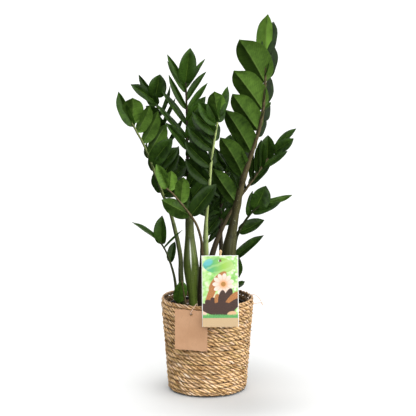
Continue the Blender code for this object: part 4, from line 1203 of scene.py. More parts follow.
# How leaflets differ: degrees of bearing and of turn, shares of length and width, then arch, twist
# in radians, fold, sideways bow and youth
BEARING_RANGE = (-4, 4)
TURN_RANGE = (-3, 3)
LENGTH_RANGE = (0.96, 1.04)
WIDTH_RANGE = (0.97, 1.03)
ARCH_RANGE = (-0.035, 0.045)
TWIST_RANGE = (-0.22, 0.22)
FOLD_RANGE = (0.8, 1.25)
BOW_RANGE = (-0.035, 0.035)
YOUTH_RANGE = (-0.08, 0.08)

STEM_STEPS = 10           # rings of a stem between two of its path points
STEM_SIDES = 20
STEM_JOINT = 0.16         # how much thicker a stem is at a leaflet's joint
STEM_CHANGE = 1.5         # how fast its skin goes from its foot's colour to its top's
SWOLLEN_FROM = 9          # radius in millimetres from which a petiole looks swollen,
SWOLLEN_OVER = 4          # and how much more makes it wholly so
PETIOLULE = 2.2 * MM      # width of the short stalk that joins a leaflet to its rachis
TOP_OVERLAP = 2 * MM      # how far below the rachis's end its last leaflet starts
BLADE_ARCH = 0.10         # how far a leaflet's tip bows back, as a share of its length
BLADE_FOLD = 0.50         # how far its edges rise above the midrib, as a share of its half width
BLADE_BELLY = 0.13        # how far each half bulges between midrib and edge, likewise
BLADE_WAVE = 0.06         # how far its edges wave, likewise
MIDRIB_WIDTH = 0.13       # likewise
# Painted shade: one half of each leaflet is darkened, as if turned away from the light
HALF_SHADE = 0.36         # how much darker one half of a leaflet is than the other
BLADE_ROWS = 18
BLADE_ACROSS = (-1, -0.84, -0.6, -0.34, -0.1, 0, 0.1, 0.34, 0.6, 0.84, 1)
BLADE_THICKNESS = 0.6 * MM
MIDRIB_DEPTH = 1.0 * MM
OLD_GREEN = (0.0110, 0.0290, 0.0045)
GROWN_GREEN = (0.0400, 0.0980, 0.0110)
YOUNG_GREEN = (0.1300, 0.2500, 0.0330)
MIDRIB_GREEN = (0.13, 0.22, 0.03)
UNDERSIDE = (0.034, 0.074, 0.011)
UNDERSIDE_YOUNG = (0.158, 0.300, 0.040)
MIDRIB_UNDER = (0.15, 0.24, 0.05)
VEIN_UNDER = (0.03, 0.07, 0.012)
# Darkening for mottles and for the painted shade on one half of each leaflet
LEAF_MOTTLE_AND_SHADE = (0.30, 0.34, 0.36)
STEM_LIGHT = (1.9, 1.85, 1.6)
STEM_DARK = (0.35, 0.38, 0.45)
STEM_SPECKS = (0.42, 0.45, 0.28)
# Tint of the painted highlight down the swollen petiole
STEM_PAINTED_HIGHLIGHT = (0.66, 0.70, 0.62)


def leaf_green():
    finish = Finish("leaf_green", {
        "Specular IOR Level": 0.05, "Coat Weight": 0.1, "Coat Roughness": 0.09,
    })
    across, along, upper = finish.parts(finish.attribute("blade", "Vector"))
    youth, whim, shade = finish.parts(finish.attribute("temper", "Vector"))
    spread = across.size()
    veins = ((along - spread * 0.30) * 120 + whim * 20).sine()
    vein = veins.ease(0.55, 1.0) * (1 - (spread - 0.5).size().ease(0.35, 0.5))
    midrib = 1 - spread.ease(0.015, 0.07)
    cloud = finish.noise(finish.place(), 38.0, 3.0, 0.55)
    streak = finish.noise(finish.vector(across * 2, along * 26, whim * 9), 1.0, 3.0, 0.6)
    young = youth + (cloud - 0.5) * 0.6 + (streak - 0.5) * 0.7
    top = finish.ramp(young, ((0.0, OLD_GREEN), (0.45, GROWN_GREEN), (1.0, YOUNG_GREEN)))
    top = finish.mix(vein * 0.3, top, MIDRIB_GREEN)
    top = finish.mix(midrib * (1 - along.ease(0.55, 1.0)) * 0.55, top, MIDRIB_GREEN)
    under = finish.mix(young, UNDERSIDE, UNDERSIDE_YOUNG)
    under = finish.mix((1 - spread.ease(0.02, 0.1)) * 0.5, under, MIDRIB_UNDER)
    under = finish.mix(vein * 0.35, under, VEIN_UNDER)
    colour = finish.mix(upper.ease(0.4, 0.8), under, top)
    blotch = finish.noise(finish.vector(across * 1.3, along * 4, whim * 31), 1.0, 3.0, 0.6)
    dark = blotch.ease(0.42, 0.72) * 0.55 + (whim * 7.3).sine().size() * 0.15
    # Painted shade over one half of each leaflet, on top of its mottles
    dark = dark + across.ease(-0.25, 0.25) * shade
    colour = finish.mix(dark, colour, finish.times(colour, LEAF_MOTTLE_AND_SHADE))
    pores = finish.noise(finish.place(), 1100.0, 2.0)
    height = pores * 0.12 + streak * 0.25 - vein * 0.25 - midrib * upper
    return finish.drive({
        "Base Color": colour,
        "Roughness": 0.52 - upper * 0.2 + (cloud - 0.5) * 0.2,
        "Normal": finish.bump(height, 0.35 * MM, 0.6),
    })


def stem_green():
    finish = Finish("stem_skin", {"Specular IOR Level": 0.08, "Coat Roughness": 0.1})
    skin = finish.attribute("skin", "Color")
    along = finish.attribute("height")
    around = finish.attribute("around", "Vector")
    across, depth, _ = finish.parts(around)

    def streaks(round_it, up_it):
        lift = finish.vector(0.0, 0.0, along * up_it)
        return finish.noise(finish.together(finish.scaled(around, round_it), lift), 1.0, 3.0, 0.6)

    lines = streaks(5.0, 10)
    bands = streaks(0.6, 95)
    specks = finish.noise(finish.place(), 420.0, 2.0).ease(0.66, 0.74)
    colour = finish.mix(lines.ease(0.35, 0.7) * 0.55, skin, finish.times(skin, STEM_LIGHT))
    colour = finish.mix(bands.ease(0.52, 0.68) * 0.5, colour, finish.times(skin, STEM_DARK))
    colour = finish.mix(specks * 0.4, colour, STEM_SPECKS)
    # Painted light: each stem is lighter on its side toward +X and darker on the other
    painted_sun_side = across.ease(-0.7, 0.9)
    colour = finish.times(colour, finish.grey(0.6 + painted_sun_side * 0.95))

    # Painted highlight: a slanted pale streak down the front of the swollen petiole
    swollen = finish.attribute("skin", "Alpha")
    slant = across - 0.04 + (along - 0.28) * 1.6
    painted_highlight = (1 - slant.size() / 0.15).ease(0.0, 0.8) * (0 - depth).ease(0.0, 0.2) * swollen
    painted_highlight = painted_highlight * along.ease(0.235, 0.285) * (1 - along.ease(0.305, 0.328))
    colour = finish.mix(painted_highlight.ease(0.1, 0.6) * 0.9, colour, STEM_PAINTED_HIGHLIGHT)
    return finish.drive({
        "Base Color": colour,
        "Roughness": 0.34 + lines * 0.2,
        "Coat Weight": 0.08 + swollen * 0.75,
        "Normal": finish.bump(lines + specks * 0.3, 0.5 * MM, 0.6),
    })


LEAF_GREEN = leaf_green()
STEM_GREEN = stem_green()


def girth_at(girth, height):
    for (low, start), (high, end) in zip(girth, girth[1:]):
        if height <= high:
            share = smooth_step(max((height - low) / (high - low), 0))
            return start + (end - start) * share
    return girth[-1][1]


def at_height(curve, values, height):
    """Where a rising curve passes a height: point, direction and value there."""
    for index in range(len(curve) - 1):
        low, high = curve[index], curve[index + 1]
        if low.z <= height <= high.z:
            share = (height - low.z) / (high.z - low.z)
            point = low.lerp(high, share)
            value = values[index] * (1 - share) + values[index + 1] * share
            return point, (high - low).normalized(), value
    return curve[-1], (curve[-1] - curve[-2]).normalized(), values[-1]


def between(pair, share):
    return pair[0] + (pair[1] - pair[0]) * share


def blade_fullness(share):
    """Half width of a leaflet along its length: rounded below, drawn out to a point above."""
    lean = share ** 0.82
    return max(1 - abs(2 * lean - 1) ** 2.4, 0) ** (0.60 + 0.36 * share)


def add_blade(shape, base, along, face, length, width, stalk, youth, quirk):
    """A leaflet from its stalk to its tip: two convex halves that meet in a sunken midrib."""
    face = Vector(face)
    normal = (face - along * face.dot(along)).normalized()
    sideways = along.cross(normal).normalized()
    whim = quirk.random()
    arch = BLADE_ARCH + quirk.uniform(*ARCH_RANGE)
    twist = quirk.uniform(*TWIST_RANGE)
    fold = BLADE_FOLD * quirk.uniform(*FOLD_RANGE)
    wave = quirk.uniform(0, math.tau)
    bow = quirk.uniform(*BOW_RANGE)
    rings = []
    for row in range(BLADE_ROWS + 1):
        share = (1 - math.cos(math.pi * row / BLADE_ROWS)) / 2
        share = share * 0.35 + row / BLADE_ROWS * 0.65
        centre = base + along * length * share - normal * arch * length * share * share
        centre += sideways * length * bow * 4 * share * (1 - share)
        lean = math.atan(2 * arch * share)
        rise = normal * math.cos(lean) + along * math.sin(lean)
        turn = Matrix.Rotation(twist * share, 3, along)
        rise = turn @ rise
        side = turn @ sideways
        full = blade_fullness(share)
        half = max(width / 2 * full, stalk / 2 if share < 0.3 else 0.25 * MM)
        flat = min(full * 1.6, 1)
        thick = BLADE_THICKNESS * (0.45 + 0.55 * flat)
        above, below = [], []
        for across in BLADE_ACROSS:
            spread = abs(across)
            belly = BLADE_BELLY * math.sin(math.pi * spread) * flat
            ripple = BLADE_WAVE * math.sin(share * 10 + wave + across) * spread * spread * flat
            lift = half * (fold * spread ** 1.2 + belly + ripple)
            rib = math.exp(-(across / MIDRIB_WIDTH) ** 2) * min(full * 3, 1)
            rib *= MIDRIB_DEPTH * (1 - 0.8 * share)
            spot = centre + side * across * half + rise * lift * flat
            above.append(spot)
            below.append(spot - rise * (thick + rib if full else stalk * 0.7))
        places = [(across, share) for across in BLADE_ACROSS]
        marks = [(a, s, 1.0) for a, s in places] + [(a, s, 0.0) for a, s in reversed(places)]
        rings.append(shape.ring(above + below[::-1], blade=marks, temper=(youth, whim, HALF_SHADE)))
    shape.skin(rings)


def loop(centre, wide, high, radius, sides):
    """Points on a circle round a centre, in the plane of two directions."""
    return [centre + (wide * math.cos(a) + high * math.sin(a)) * radius
            for a in (math.tau * side / sides for side in range(sides))]


def tube_rings(curve, radii, sides):
    """Rings square to a curve, turned as little as possible from one to the next."""
    rings = []
    across = Vector((1, 0, 0))
    for index, point in enumerate(curve):
        before = curve[max(index - 1, 0)]
        after = curve[min(index + 1, len(curve) - 1)]
        along = (after - before).normalized()
        across = (across - along * across.dot(along)).normalized()
        rings.append(loop(point, across, along.cross(across), radii[index], sides))
    return rings


def leaflets_of(leaf, curve, radii, chance):
    """Base, direction, face, length, width, stalk and youth of every leaflet."""
    heights = [one.height for one in leaf.single] + [row.heights[0] for row in leaf.rows]
    lowest = min(heights, default=0) * MM
    found = []

    def youth_at(height):
        return between(leaf.youth, (height - lowest) / (curve[-1].z - lowest))

    def stalk(radius):
        return min(PETIOLULE, radius * 1.1)

    for row in leaf.rows:
        for index in range(row.count):
            share = index / max(row.count - 1, 1)
            point, along, radius = at_height(curve, radii, between(row.heights, share) * MM)
            side = compass(math.radians(row.bearing + chance.uniform(*BEARING_RANGE)))
            side = (side - along * side.dot(along)).normalized()
            turn = math.radians(between(row.spread, share) + chance.uniform(*TURN_RANGE))
            towards = along * math.cos(turn) + side * math.sin(turn)
            length = between(row.length, share) * chance.uniform(*LENGTH_RANGE) * MM
            width = between(row.width, share) * chance.uniform(*WIDTH_RANGE) * MM
            found.append((point + side * radius * 0.3, towards, row.face, length, width,
                          stalk(radius), youth_at(point.z)))
    for one in leaf.single:
        point, _, radius = at_height(curve, radii, one.height * MM)
        youth = youth_at(point.z) if one.youth is None else one.youth
        found.append((point, Vector(one.towards).normalized(), one.face, one.length * MM,
                      one.width * MM, stalk(radius), youth))
    top = leaf.top
    base = curve[-1] - (curve[-1] - curve[-2]).normalized() * TOP_OVERLAP
    youth = leaf.youth[1] if top.youth is None else top.youth
    found.append((base, Vector(top.towards).normalized(), top.face, top.length * MM,
                  top.width * MM, stalk(radii[-1]), youth))
    return found


def make_stem(name, leaf, curve, radii, joints):
    """The petiole and rachis, a little thicker at each leaflet's joint."""
    shape = Shape({"skin": "FLOAT_COLOR", "height": "FLOAT", "around": "FLOAT_VECTOR"})
    full = []
    for point, radius in zip(curve, radii):
        swell = sum(math.exp(-((point - joint).length / (1.4 * radius + 1 * MM)) ** 2) for joint in joints)
        full.append(radius * (1 + STEM_JOINT * min(swell, 1)))
    section = [tuple(compass(math.tau * side / STEM_SIDES)) for side in range(STEM_SIDES)]
    rings = []
    for index, ring in enumerate(tube_rings(curve, full, STEM_SIDES)):
        share = smooth_step(min(STEM_CHANGE * index / (len(curve) - 1), 1))
        colour = Vector(leaf.skin[0]).lerp(Vector(leaf.skin[1]), share)
        swollen = min(max(full[index] / MM - SWOLLEN_FROM, 0) / SWOLLEN_OVER, 1) * leaf.gloss
        rings.append(shape.ring(ring, skin=(*colour, swollen), height=curve[index].z, around=section))
    shape.skin(rings)
    return shape.piece(name + "_stem", STEM_GREEN, 60)


def make_leaf(name, leaf):
    chance = random.Random(LEAF_SEED + len(name))
    quirk = random.Random(name)
    coarse = smooth_path([Vector(point) * MM for point in leaf.path], 2)
    coarse_radii = [girth_at(leaf.girth, point.z / MM) * MM for point in coarse]
    found = leaflets_of(leaf, coarse, coarse_radii, chance)
    curve = smooth_path([Vector(point) * MM for point in leaf.path], STEM_STEPS)
    radii = [girth_at(leaf.girth, point.z / MM) * MM for point in curve]
    stem = make_stem(name, leaf, curve, radii, [leaflet[0] for leaflet in found])
    shape = Shape({"blade": "FLOAT_VECTOR", "temper": "FLOAT_VECTOR"})
    for base, towards, face, length, width, stalk, youth in found:
        youth += quirk.uniform(*YOUTH_RANGE)
        add_blade(shape, base, towards, face, length, width, stalk, youth, quirk)
    leaflets = shape.piece(name + "_leaflets", LEAF_GREEN, 50)
    for piece, slot in ((stem, "stem_green"), (leaflets, "leaf_green")):
        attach(piece, "root")
        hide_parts(name)


for leaf_name, leaf in LEAVES.items():
    make_leaf(leaf_name, leaf)


# ---------------------------------------------------------------- care tag
# A glossy printed card, folded once at its right edge and punched near the top. It shows a pale
# daisy over rusty and near-black leaves, on green with a swoosh of colour above, and grass over a
# kraft-coloured band below. Its inside and back are white.

CARE_TAG_PLACE = Vector((25.4, -111, 151)) * MM     # middle of the card's lower front edge
CARE_TAG_LEAN = math.radians(-8)
CARE_TAG_ROLL = math.radians(-0.6)
CARE_TAG_WIDTH = 69.6 * MM
CARE_TAG_HEIGHT = 137 * MM
CARE_TAG_PRINT = 69.0             # width of its print, in millimetres
CARE_TAG_BOW = 0.5 * MM           # how far its front leaf bows out at mid height
CARE_TAG_BULGE = 0.35 * MM        # and its back leaf at mid width
FOLD_RADIUS = 0.5 * MM
FOLD_INSET = 0.7 * MM             # from the card's right edge to the middle of the fold's curve
FOLD_STEPS = 5
CARE_TAG_GAPE = 2.4 * MM          # how far the folded card springs open at its left edge
CARE_TAG_OFFSET = 0.8 * MM        # how far the back leaf stands out past the front one
CARD = 0.45 * MM
CARD_ROWS = 20
CARD_COLUMNS = 12
TAG_HOLE_RADIUS = 3 * MM
DRILL_REACH = 8 * MM
HOLE_BELOW_TOP = 10 * MM
HOLE_SIDES = 32
PAPER_WHITE = (0.80, 0.80, 0.78)
PAPER_BRIGHT = (0.90, 0.90, 0.88)

# The print in millimetres from the card's lower left corner. Tones run from low to high; an oval
# is a centre, half sizes, a lean in degrees and how soft its edge is.
GROUND_TONES = ((0.32, (0.20, 0.52, 0.10)), (0.47, (0.38, 0.68, 0.20)), (0.68, (0.72, 0.84, 0.52)))
SWOOSH_TONES = ((0.0, (0.06, 0.38, 0.40)), (0.3, (0.11, 0.44, 0.15)), (0.6, (0.30, 0.56, 0.07)),
                (1.0, (0.48, 0.66, 0.24)))
PETAL_TONES = ((0.2, (0.80, 0.36, 0.13)), (0.5, (0.84, 0.62, 0.50)), (1.0, (0.86, 0.72, 0.64)))
RUST_TONES = ((0.62, 0.25, 0.06), (0.22, 0.085, 0.03))
DARK_TONES = ((0.010, 0.006, 0.005), (0.085, 0.030, 0.015))
LAWN_TONES = ((0.035, 0.26, 0.065), (0.17, 0.48, 0.14))
BAND_TONES = ((0.52, 0.36, 0.19), (0.61, 0.45, 0.26))
LIGHT_SPOTS = (0.78, 0.84, 0.66)
SWOOSH_STREAKS = (0.50, 0.70, 0.30)
SWOOSH_BLUE = (0.13, 0.52, 0.60)
PETAL_GAPS = (0.66, 0.30, 0.13)
FLOWER_EYE = (0.42, 0.20, 0.04)
LEAF_BUFF = (0.80, 0.56, 0.44)
LEAF_TAN = (0.72, 0.44, 0.24)
SWOOSH_OVAL = ((32, 118), (30, 15.5), -3, 0.1)
BLUE_OVAL = ((12, 124), (9, 6), 20, 0.6)
BUFF_OVAL = ((13, 48), (29, 6.5), 68, 0.2)
RUST_OVALS = (((19, 68), (30, 6.5), 66, 0.15), ((30, 88), (24, 9), 48, 0.15))
HEART_OVAL = ((38, 33), (25, 15), 0, 0.1)
TAN_OVAL = ((57, 25), (9, 5), 10, 0.2)
FLOWER_MIDDLE = (41, 82)
FLOWER_REACH = 21
PETAL_COUNT = 11
ROSETTE_FOOT = (38, 24)
ROSETTE_LEANS = (158, 140, 122, 104, 88, 70, 54, 38)
ROSETTE_RUSTY = (3, 6)            # leaves of the rosette that are rusty, the rest being dark


def print_shapes(finish):
    """The front's coordinates in millimetres from its lower left corner."""
    u, v, _ = finish.parts(finish.add("ShaderNodeUVMap", {"uv_map": "print"}))
    return u * (CARE_TAG_WIDTH / MM), v * (CARE_TAG_HEIGHT / MM)


def oval(x, y, centre, radii, lean, soft):
    """1 inside an oval and 0 outside it."""
    turn = math.radians(lean)
    dx = x - centre[0]
    dy = y - centre[1]
    a = (dx * math.cos(turn) + dy * math.sin(turn)) / radii[0]
    b = (dy * math.cos(turn) - dx * math.sin(turn)) / radii[1]
    return 1 - (a * a + b * b).ease(1 - soft, 1 + soft)


def print_ground(finish, x, y):
    """Green with soft round lights, and a streaky swoosh of colour across its top."""
    flat = finish.vector(x, y)
    haze = finish.noise(flat, 0.07, 3.0)
    lights = finish.add("ShaderNodeTexVoronoi", {"feature": "SMOOTH_F1"},
                        {"Vector": flat, "Scale": 0.13, "Smoothness": 0.2})
    colour = finish.ramp(haze, GROUND_TONES)
    colour = finish.mix((1 - lights.ease(0.25, 0.45)) * (0.35 + x / 110), colour, LIGHT_SPOTS)
    streaks = ((y * 0.9 - x * 0.35 + haze * 9) * 0.45).sine()
    sweep = finish.ramp(x / CARE_TAG_PRINT, SWOOSH_TONES)
    sweep = finish.mix(streaks.ease(0.1, 0.9) * 0.4, sweep, SWOOSH_STREAKS)
    swoosh = oval(x, y, *SWOOSH_OVAL)
    colour = finish.mix(swoosh, colour, sweep)
    return finish.mix(oval(x, y, *BLUE_OVAL) * swoosh * 0.7, colour, SWOOSH_BLUE)


def print_flower(finish, x, y, colour):
    """A daisy with a brown eye."""
    dx = x - FLOWER_MIDDLE[0]
    dy = y - FLOWER_MIDDLE[1]
    out = (dx * dx + dy * dy) ** 0.5
    petals = (dy.maths("ARCTAN2", dy, dx) * (PETAL_COUNT / 2)).sine().size()
    edge = 15.5 + petals * 5.5
    bloom = finish.ramp(out / FLOWER_REACH, PETAL_TONES)
    bloom = finish.mix((1 - petals.ease(0.0, 0.3)) * 0.6, bloom, PETAL_GAPS)
    colour = finish.mix((edge - out).ease(-0.5, 0.5), colour, bloom)
    return finish.mix((4.6 - out).ease(-0.5, 0.5), colour, FLOWER_EYE)


def print_front():
    finish = Finish("printed_card_front", {
        "Specular IOR Level": 0.3, "Coat Weight": 0.15, "Coat Roughness": 0.1,
    })
    x, y = print_shapes(finish)
    grain = finish.noise(finish.vector(x, y), 0.9, 3.0, 0.7)
    speckle = grain.ease(0.35, 0.65)
    rust = finish.mix(speckle, *RUST_TONES)
    dark = finish.mix(speckle, *DARK_TONES)

    colour = print_ground(finish, x, y)
    colour = finish.mix(oval(x, y, *BUFF_OVAL), colour, LEAF_BUFF)
    for leaf in RUST_OVALS:
        colour = finish.mix(oval(x, y, *leaf), colour, rust)
    colour = print_flower(finish, x, y, colour)
    for number, lean in enumerate(ROSETTE_LEANS):
        reach = 23 - 4 * math.cos(math.radians(3 * lean))
        place = (ROSETTE_FOOT[0] + math.cos(math.radians(lean)) * reach,
                 ROSETTE_FOOT[1] + math.sin(math.radians(lean)) * reach)
        tone = rust if number in ROSETTE_RUSTY else dark
        colour = finish.mix(oval(x, y, place, (reach, 8.5), lean, 0.1), colour, tone)
    colour = finish.mix(oval(x, y, *HEART_OVAL), colour, dark)
    colour = finish.mix(oval(x, y, *TAN_OVAL), colour, LEAF_TAN)

    blades = finish.noise(finish.vector(x * 0.9, 0.0), 1.0, 2.0) * 14
    grass = 1 - (y - blades).ease(15.5, 17.0)
    colour = finish.mix(grass, colour, finish.mix(speckle, *LAWN_TONES))
    band = finish.mix(grain.ease(0.3, 0.7), *BAND_TONES)
    colour = finish.mix(1 - y.ease(16.7, 17.3), colour, band)
    inside = x.ease(0.5, 0.9) * (1 - x.ease(68.8, 69.2)) * (1 - y.ease(135.6, 136.1))
    colour = finish.mix(inside.most(1 - y.ease(15.9, 16.4)), PAPER_WHITE, colour)
    return finish.drive({
        "Base Color": colour,
        "Roughness": 0.36 + grain * 0.08,
        "Normal": finish.bump(grain, 0.05 * MM, 0.3),
    })


def card_paper(name, pale, dark, flecks, roughness):
    """Uncoated board: faint clouds, fibres and flecks."""
    finish = Finish(name, {"Sheen Weight": 0.1})
    cloud = finish.noise(finish.place(), 30.0, 3.0)
    fibre = finish.noise(finish.add("ShaderNodeMapping", None, {
        "Vector": finish.place(), "Scale": (900.0, 900.0, 260.0), "Rotation": (0.0, 0.5, 0.3),
    }), 1.0, 3.0, 0.65)
    colour = finish.mix(cloud.ease(0.3, 0.7), pale, dark)
    darker = tuple(part * 0.55 for part in dark)
    paler = tuple(min(part * 1.3, 0.95) for part in pale)
    colour = finish.mix(fibre.ease(0.58, 0.72) * flecks, colour, darker)
    colour = finish.mix((1 - fibre.ease(0.28, 0.42)) * flecks, colour, paler)
    return finish.drive({
        "Base Color": colour,
        "Roughness": roughness + fibre * 0.1,
        "Normal": finish.bump(fibre * 0.6 + cloud, 0.12 * MM),
    })


def punch(card, centre, across, radius):
    """Cuts a round hole through a card along a line, and keeps the result as its mesh."""
    drill = Shape()
    aim = across.normalized()
    wide = aim.orthogonal().normalized()
    high = aim.cross(wide)
    drill.skin([drill.ring(loop(centre + across * end, wide, high, radius, HOLE_SIDES))
                for end in (-1, 1)])
    tool = drill.piece(card.name + "_drill", None)
    cut = card.modifiers.new("punch", "BOOLEAN")
    cut.operation = "DIFFERENCE"
    cut.object = tool
    mesh = bpy.data.meshes.new_from_object(card.evaluated_get(bpy.context.evaluated_depsgraph_get()))
    card.modifiers.remove(cut)
    card.data = mesh
    bpy.data.objects.remove(tool)
    mesh.set_sharp_from_angle(angle=math.radians(40))


def care_tag_section(level):
    """The folded card seen from above at a level from 0 to 1: (outside, inside) points."""
    half = CARE_TAG_WIDTH / 2
    crease = half - FOLD_INSET
    bow = CARE_TAG_BOW * math.sin(math.pi * level)
    line = []
    for column in range(CARD_COLUMNS + 1):
        share = column / CARD_COLUMNS
        line.append(Vector((-half + (crease + half) * share,
                            CARD / 2 - bow * math.sin(math.pi * share) * 0.6, 0)))
    hinge = Vector((crease, CARD / 2 + FOLD_RADIUS, 0))
    for step in range(1, FOLD_STEPS + 1):
        angle = math.radians(-90 + 30 * step)
        line.append(hinge + compass(angle) * FOLD_RADIUS)
    start = line[-1]
    end = Vector((-half - CARE_TAG_OFFSET, 2 * CARD + CARE_TAG_GAPE, 0))
    for column in range(1, CARD_COLUMNS + 1):
        share = column / CARD_COLUMNS
        bulge = CARE_TAG_BULGE * math.sin(math.pi * share)
        line.append(start.lerp(end, share) + Vector((0, bulge, 0)))
    outside, inside = [], []
    for index, point in enumerate(line):
        ahead = (line[min(index + 1, len(line) - 1)] - line[max(index - 1, 0)]).normalized()
        away = Vector((ahead.y, -ahead.x, 0)) * CARD / 2
        outside.append(point + away)
        inside.append(point - away)
    return outside, inside


def make_care_tag():
    shape = Shape({"spot": "FLOAT_VECTOR"})
    turn = Matrix.Rotation(CARE_TAG_ROLL, 3, "Y") @ Matrix.Rotation(CARE_TAG_LEAN, 3, "X")
    rings = []
    for row in range(CARD_ROWS + 1):
        level = row / CARD_ROWS
        outside, inside = care_tag_section(level)
        spots = [(index / CARD_COLUMNS, level, 1.0) for index in range(len(outside))]
        spots += [(index / CARD_COLUMNS, level, 0.0) for index in reversed(range(len(inside)))]
        ring = [CARE_TAG_PLACE + turn @ (point + UP * CARE_TAG_HEIGHT * level)
                for point in outside + inside[::-1]]
        rings.append(shape.ring(ring, spot=spots))
    shape.skin(rings)
    card = shape.piece("care_tag_card", print_front(), 40)
    card.data.materials.append(card_paper("care_tag_paper", PAPER_BRIGHT, PAPER_WHITE, 0.15, 0.55))
    front = card.data.uv_layers.new(name="print")
    spots = [tuple(value.vector) for value in card.data.attributes["spot"].data]
    for face in card.data.polygons:
        marks = [spots[number] for number in face.vertices]
        printed = all(mark[2] == 1.0 and mark[0] <= 1.0 for mark in marks)
        face.material_index = 0 if printed else 1
        for loop, mark in zip(face.loop_indices, marks):
            front.data[loop].uv = (mark[0], mark[1])
    hole = CARE_TAG_PLACE + turn @ (UP * (CARE_TAG_HEIGHT - HOLE_BELOW_TOP))
    punch(card, hole, turn @ Vector((0, DRILL_REACH, 0)), TAG_HOLE_RADIUS)
    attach(card, "root")
    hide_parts("care_tag")


make_care_tag()


# ---------------------------------------------------------------- blank kraft tag
# A plain square of recycled kraft board, punched near the top, that hangs from its string against
# the basket. It has taken a slight curl.

KRAFT_WIDTH = 66 * MM
KRAFT_HEIGHT = 79 * MM
KRAFT_REACH = 96.5 * MM           # from the basket's axis to the tag's back
KRAFT_BASE = 100 * MM
KRAFT_SHIFT = -1.6 * MM
KRAFT_CURL = 1.3 * MM
KRAFT_CARD = 0.55 * MM
KRAFT_HOLE_BELOW_TOP = 8 * MM
KRAFT_PALE = (0.66, 0.38, 0.215)
KRAFT_DARK = (0.59, 0.325, 0.175)


def make_kraft_tag():
    out = compass(KRAFT_TAG_BEARING)
    aside = Vector((-out.y, out.x, 0))
    shape = Shape()
    rings = []
    for row in range(CARD_ROWS + 1):
        level = row / CARD_ROWS
        front, back = [], []
        for column in range(CARD_COLUMNS + 1):
            share = column / CARD_COLUMNS * 2 - 1
            curl = KRAFT_CURL * (share * share) * (0.35 + 0.65 * abs(level - 0.6))
            place = aside * (KRAFT_SHIFT + share * KRAFT_WIDTH / 2)
            place += UP * (KRAFT_BASE + KRAFT_HEIGHT * level)
            front.append(place + out * (KRAFT_REACH + KRAFT_CARD + curl))
            back.append(place + out * (KRAFT_REACH + curl))
        rings.append(shape.ring(front + back[::-1]))
    shape.skin(rings)
    finish = card_paper("kraft_board", KRAFT_PALE, KRAFT_DARK, 0.35, 0.72)
    tag = shape.piece("kraft_tag_board", finish, 40)
    hole = aside * KRAFT_SHIFT + out * KRAFT_REACH
    hole += UP * (KRAFT_BASE + KRAFT_HEIGHT - KRAFT_HOLE_BELOW_TOP)
    punch(tag, hole, out * DRILL_REACH, TAG_HOLE_RADIUS)
    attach(tag, "root")
    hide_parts("kraft_tag")


make_kraft_tag()


# ---------------------------------------------------------------- tag stick
# A split bamboo pick with a rounded head, pushed into the mix and glued to the back of the care
# tag. Its flat shank is narrower than its head.

STICK_WIDTH = 3.8 * MM
STICK_DEPTH = 2 * MM
STICK_FOOT = Vector((25, -56, 120)) * MM
STICK_HEAD = Vector((25, -89.2, 297)) * MM
STICK_SIDES = 24
STICK_SQUARENESS = 0.6            # 1 gives an oval section, less a squarer one

# Shares of the stick's length from its foot, and how full it is there
STICK_OUTLINE = (
    (0, 0.15), (0.03, 0.6), (0.06, 1), (0.3, 1), (0.6, 1), (0.9, 1), (0.948, 0.98), (0.958, 1.12),
    (0.966, 1.42), (0.975, 1.58), (0.984, 1.56), (0.992, 1.3), (0.998, 0.8), (1, 0.3),
)


def bamboo():
    finish = Finish("bamboo_pick")
    grain = finish.noise(finish.add("ShaderNodeMapping", None, {
        "Vector": finish.place(), "Scale": (1500.0, 1500.0, 40.0),
    }), 1.0, 3.0, 0.6)
    blotch = finish.noise(finish.place(), 120.0, 2.0)
    colour = finish.mix(grain.ease(0.35, 0.65), (0.62, 0.40, 0.18), (0.80, 0.60, 0.34))
    colour = finish.mix(blotch.ease(0.5, 0.75) * 0.3, colour, (0.45, 0.24, 0.10))
    return finish.drive({
        "Base Color": colour,
        "Roughness": 0.5 + grain * 0.2,
        "Normal": finish.bump(grain, 0.15 * MM),
    })


def make_stick():
    along = (STICK_HEAD - STICK_FOOT).normalized()
    across = Vector((1, 0, 0))
    deep = along.cross(across)
    shape = Shape()
    rings = []
    for share, fullness in STICK_OUTLINE:
        wide = STICK_WIDTH / 2 * fullness
        thick = STICK_DEPTH / 2 * min(fullness, 1)
        ring = []
        for side in range(STICK_SIDES):
            angle = math.tau * side / STICK_SIDES
            x = math.copysign(abs(math.cos(angle)) ** STICK_SQUARENESS, math.cos(angle))
            y = math.copysign(abs(math.sin(angle)) ** STICK_SQUARENESS, math.sin(angle))
            ring.append(STICK_FOOT.lerp(STICK_HEAD, share) + across * wide * x + deep * thick * y)
        rings.append(shape.ring(ring))
    shape.skin(rings)
    stick = shape.piece("tag_stick_pick", bamboo(), 50)
    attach(stick, "root")
    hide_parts("tag_stick")


make_stick()


# ---------------------------------------------------------------- floor and light
# A plain white studio floor under a broad soft light that comes from the front, the right and
# above and a weaker one from behind, with a narrow upright strip light at the front left that
# draws a thin gleam down the stems. Round the basket's foot the floor carries a painted shadow,
# greyer to the right and the front, and painted light that makes it paler to the left.

FLOOR_HALF = 40
FLOOR_TONES = ((0.665, 0.672, 0.668), (0.675, 0.68, 0.675))
FLOOR_SHADOW_REACH = 0.35           # reach round the basket's axis of a painted shadow on the floor how much painted shadow greys it to the right and the front, and how much painted light pales it to the left
SHADOW_RIGHT = 0.28            # how much greyer it is there, to the right and to the front, and how
SHADOW_FRONT = 0.24            # much cleaner to the left
PAINTED_LIGHT_LEFT = 0.2
ROOM_AIM = Vector((0.55, -0.6, 0.58)).normalized()
ROOM_DIM = 0.09              # light from everywhere
ROOM_BRIGHT = 2.8            # more from the broad soft light
ROOM_BACK_AIM = Vector((0.05, 0.94, 0.33)).normalized()
ROOM_BACK = 1.0              # and some from behind
ROOM_BELOW = 0.15            # share of the light that a dark room's floor would give back
SEEN_WHITE = 1.1             # how bright the backdrop itself looks
STRIP_POWER = 2.5
STRIP_PLACE = (-0.25, -1.9, 0.75)
STRIP_AIM = (0, 0, 0.4)


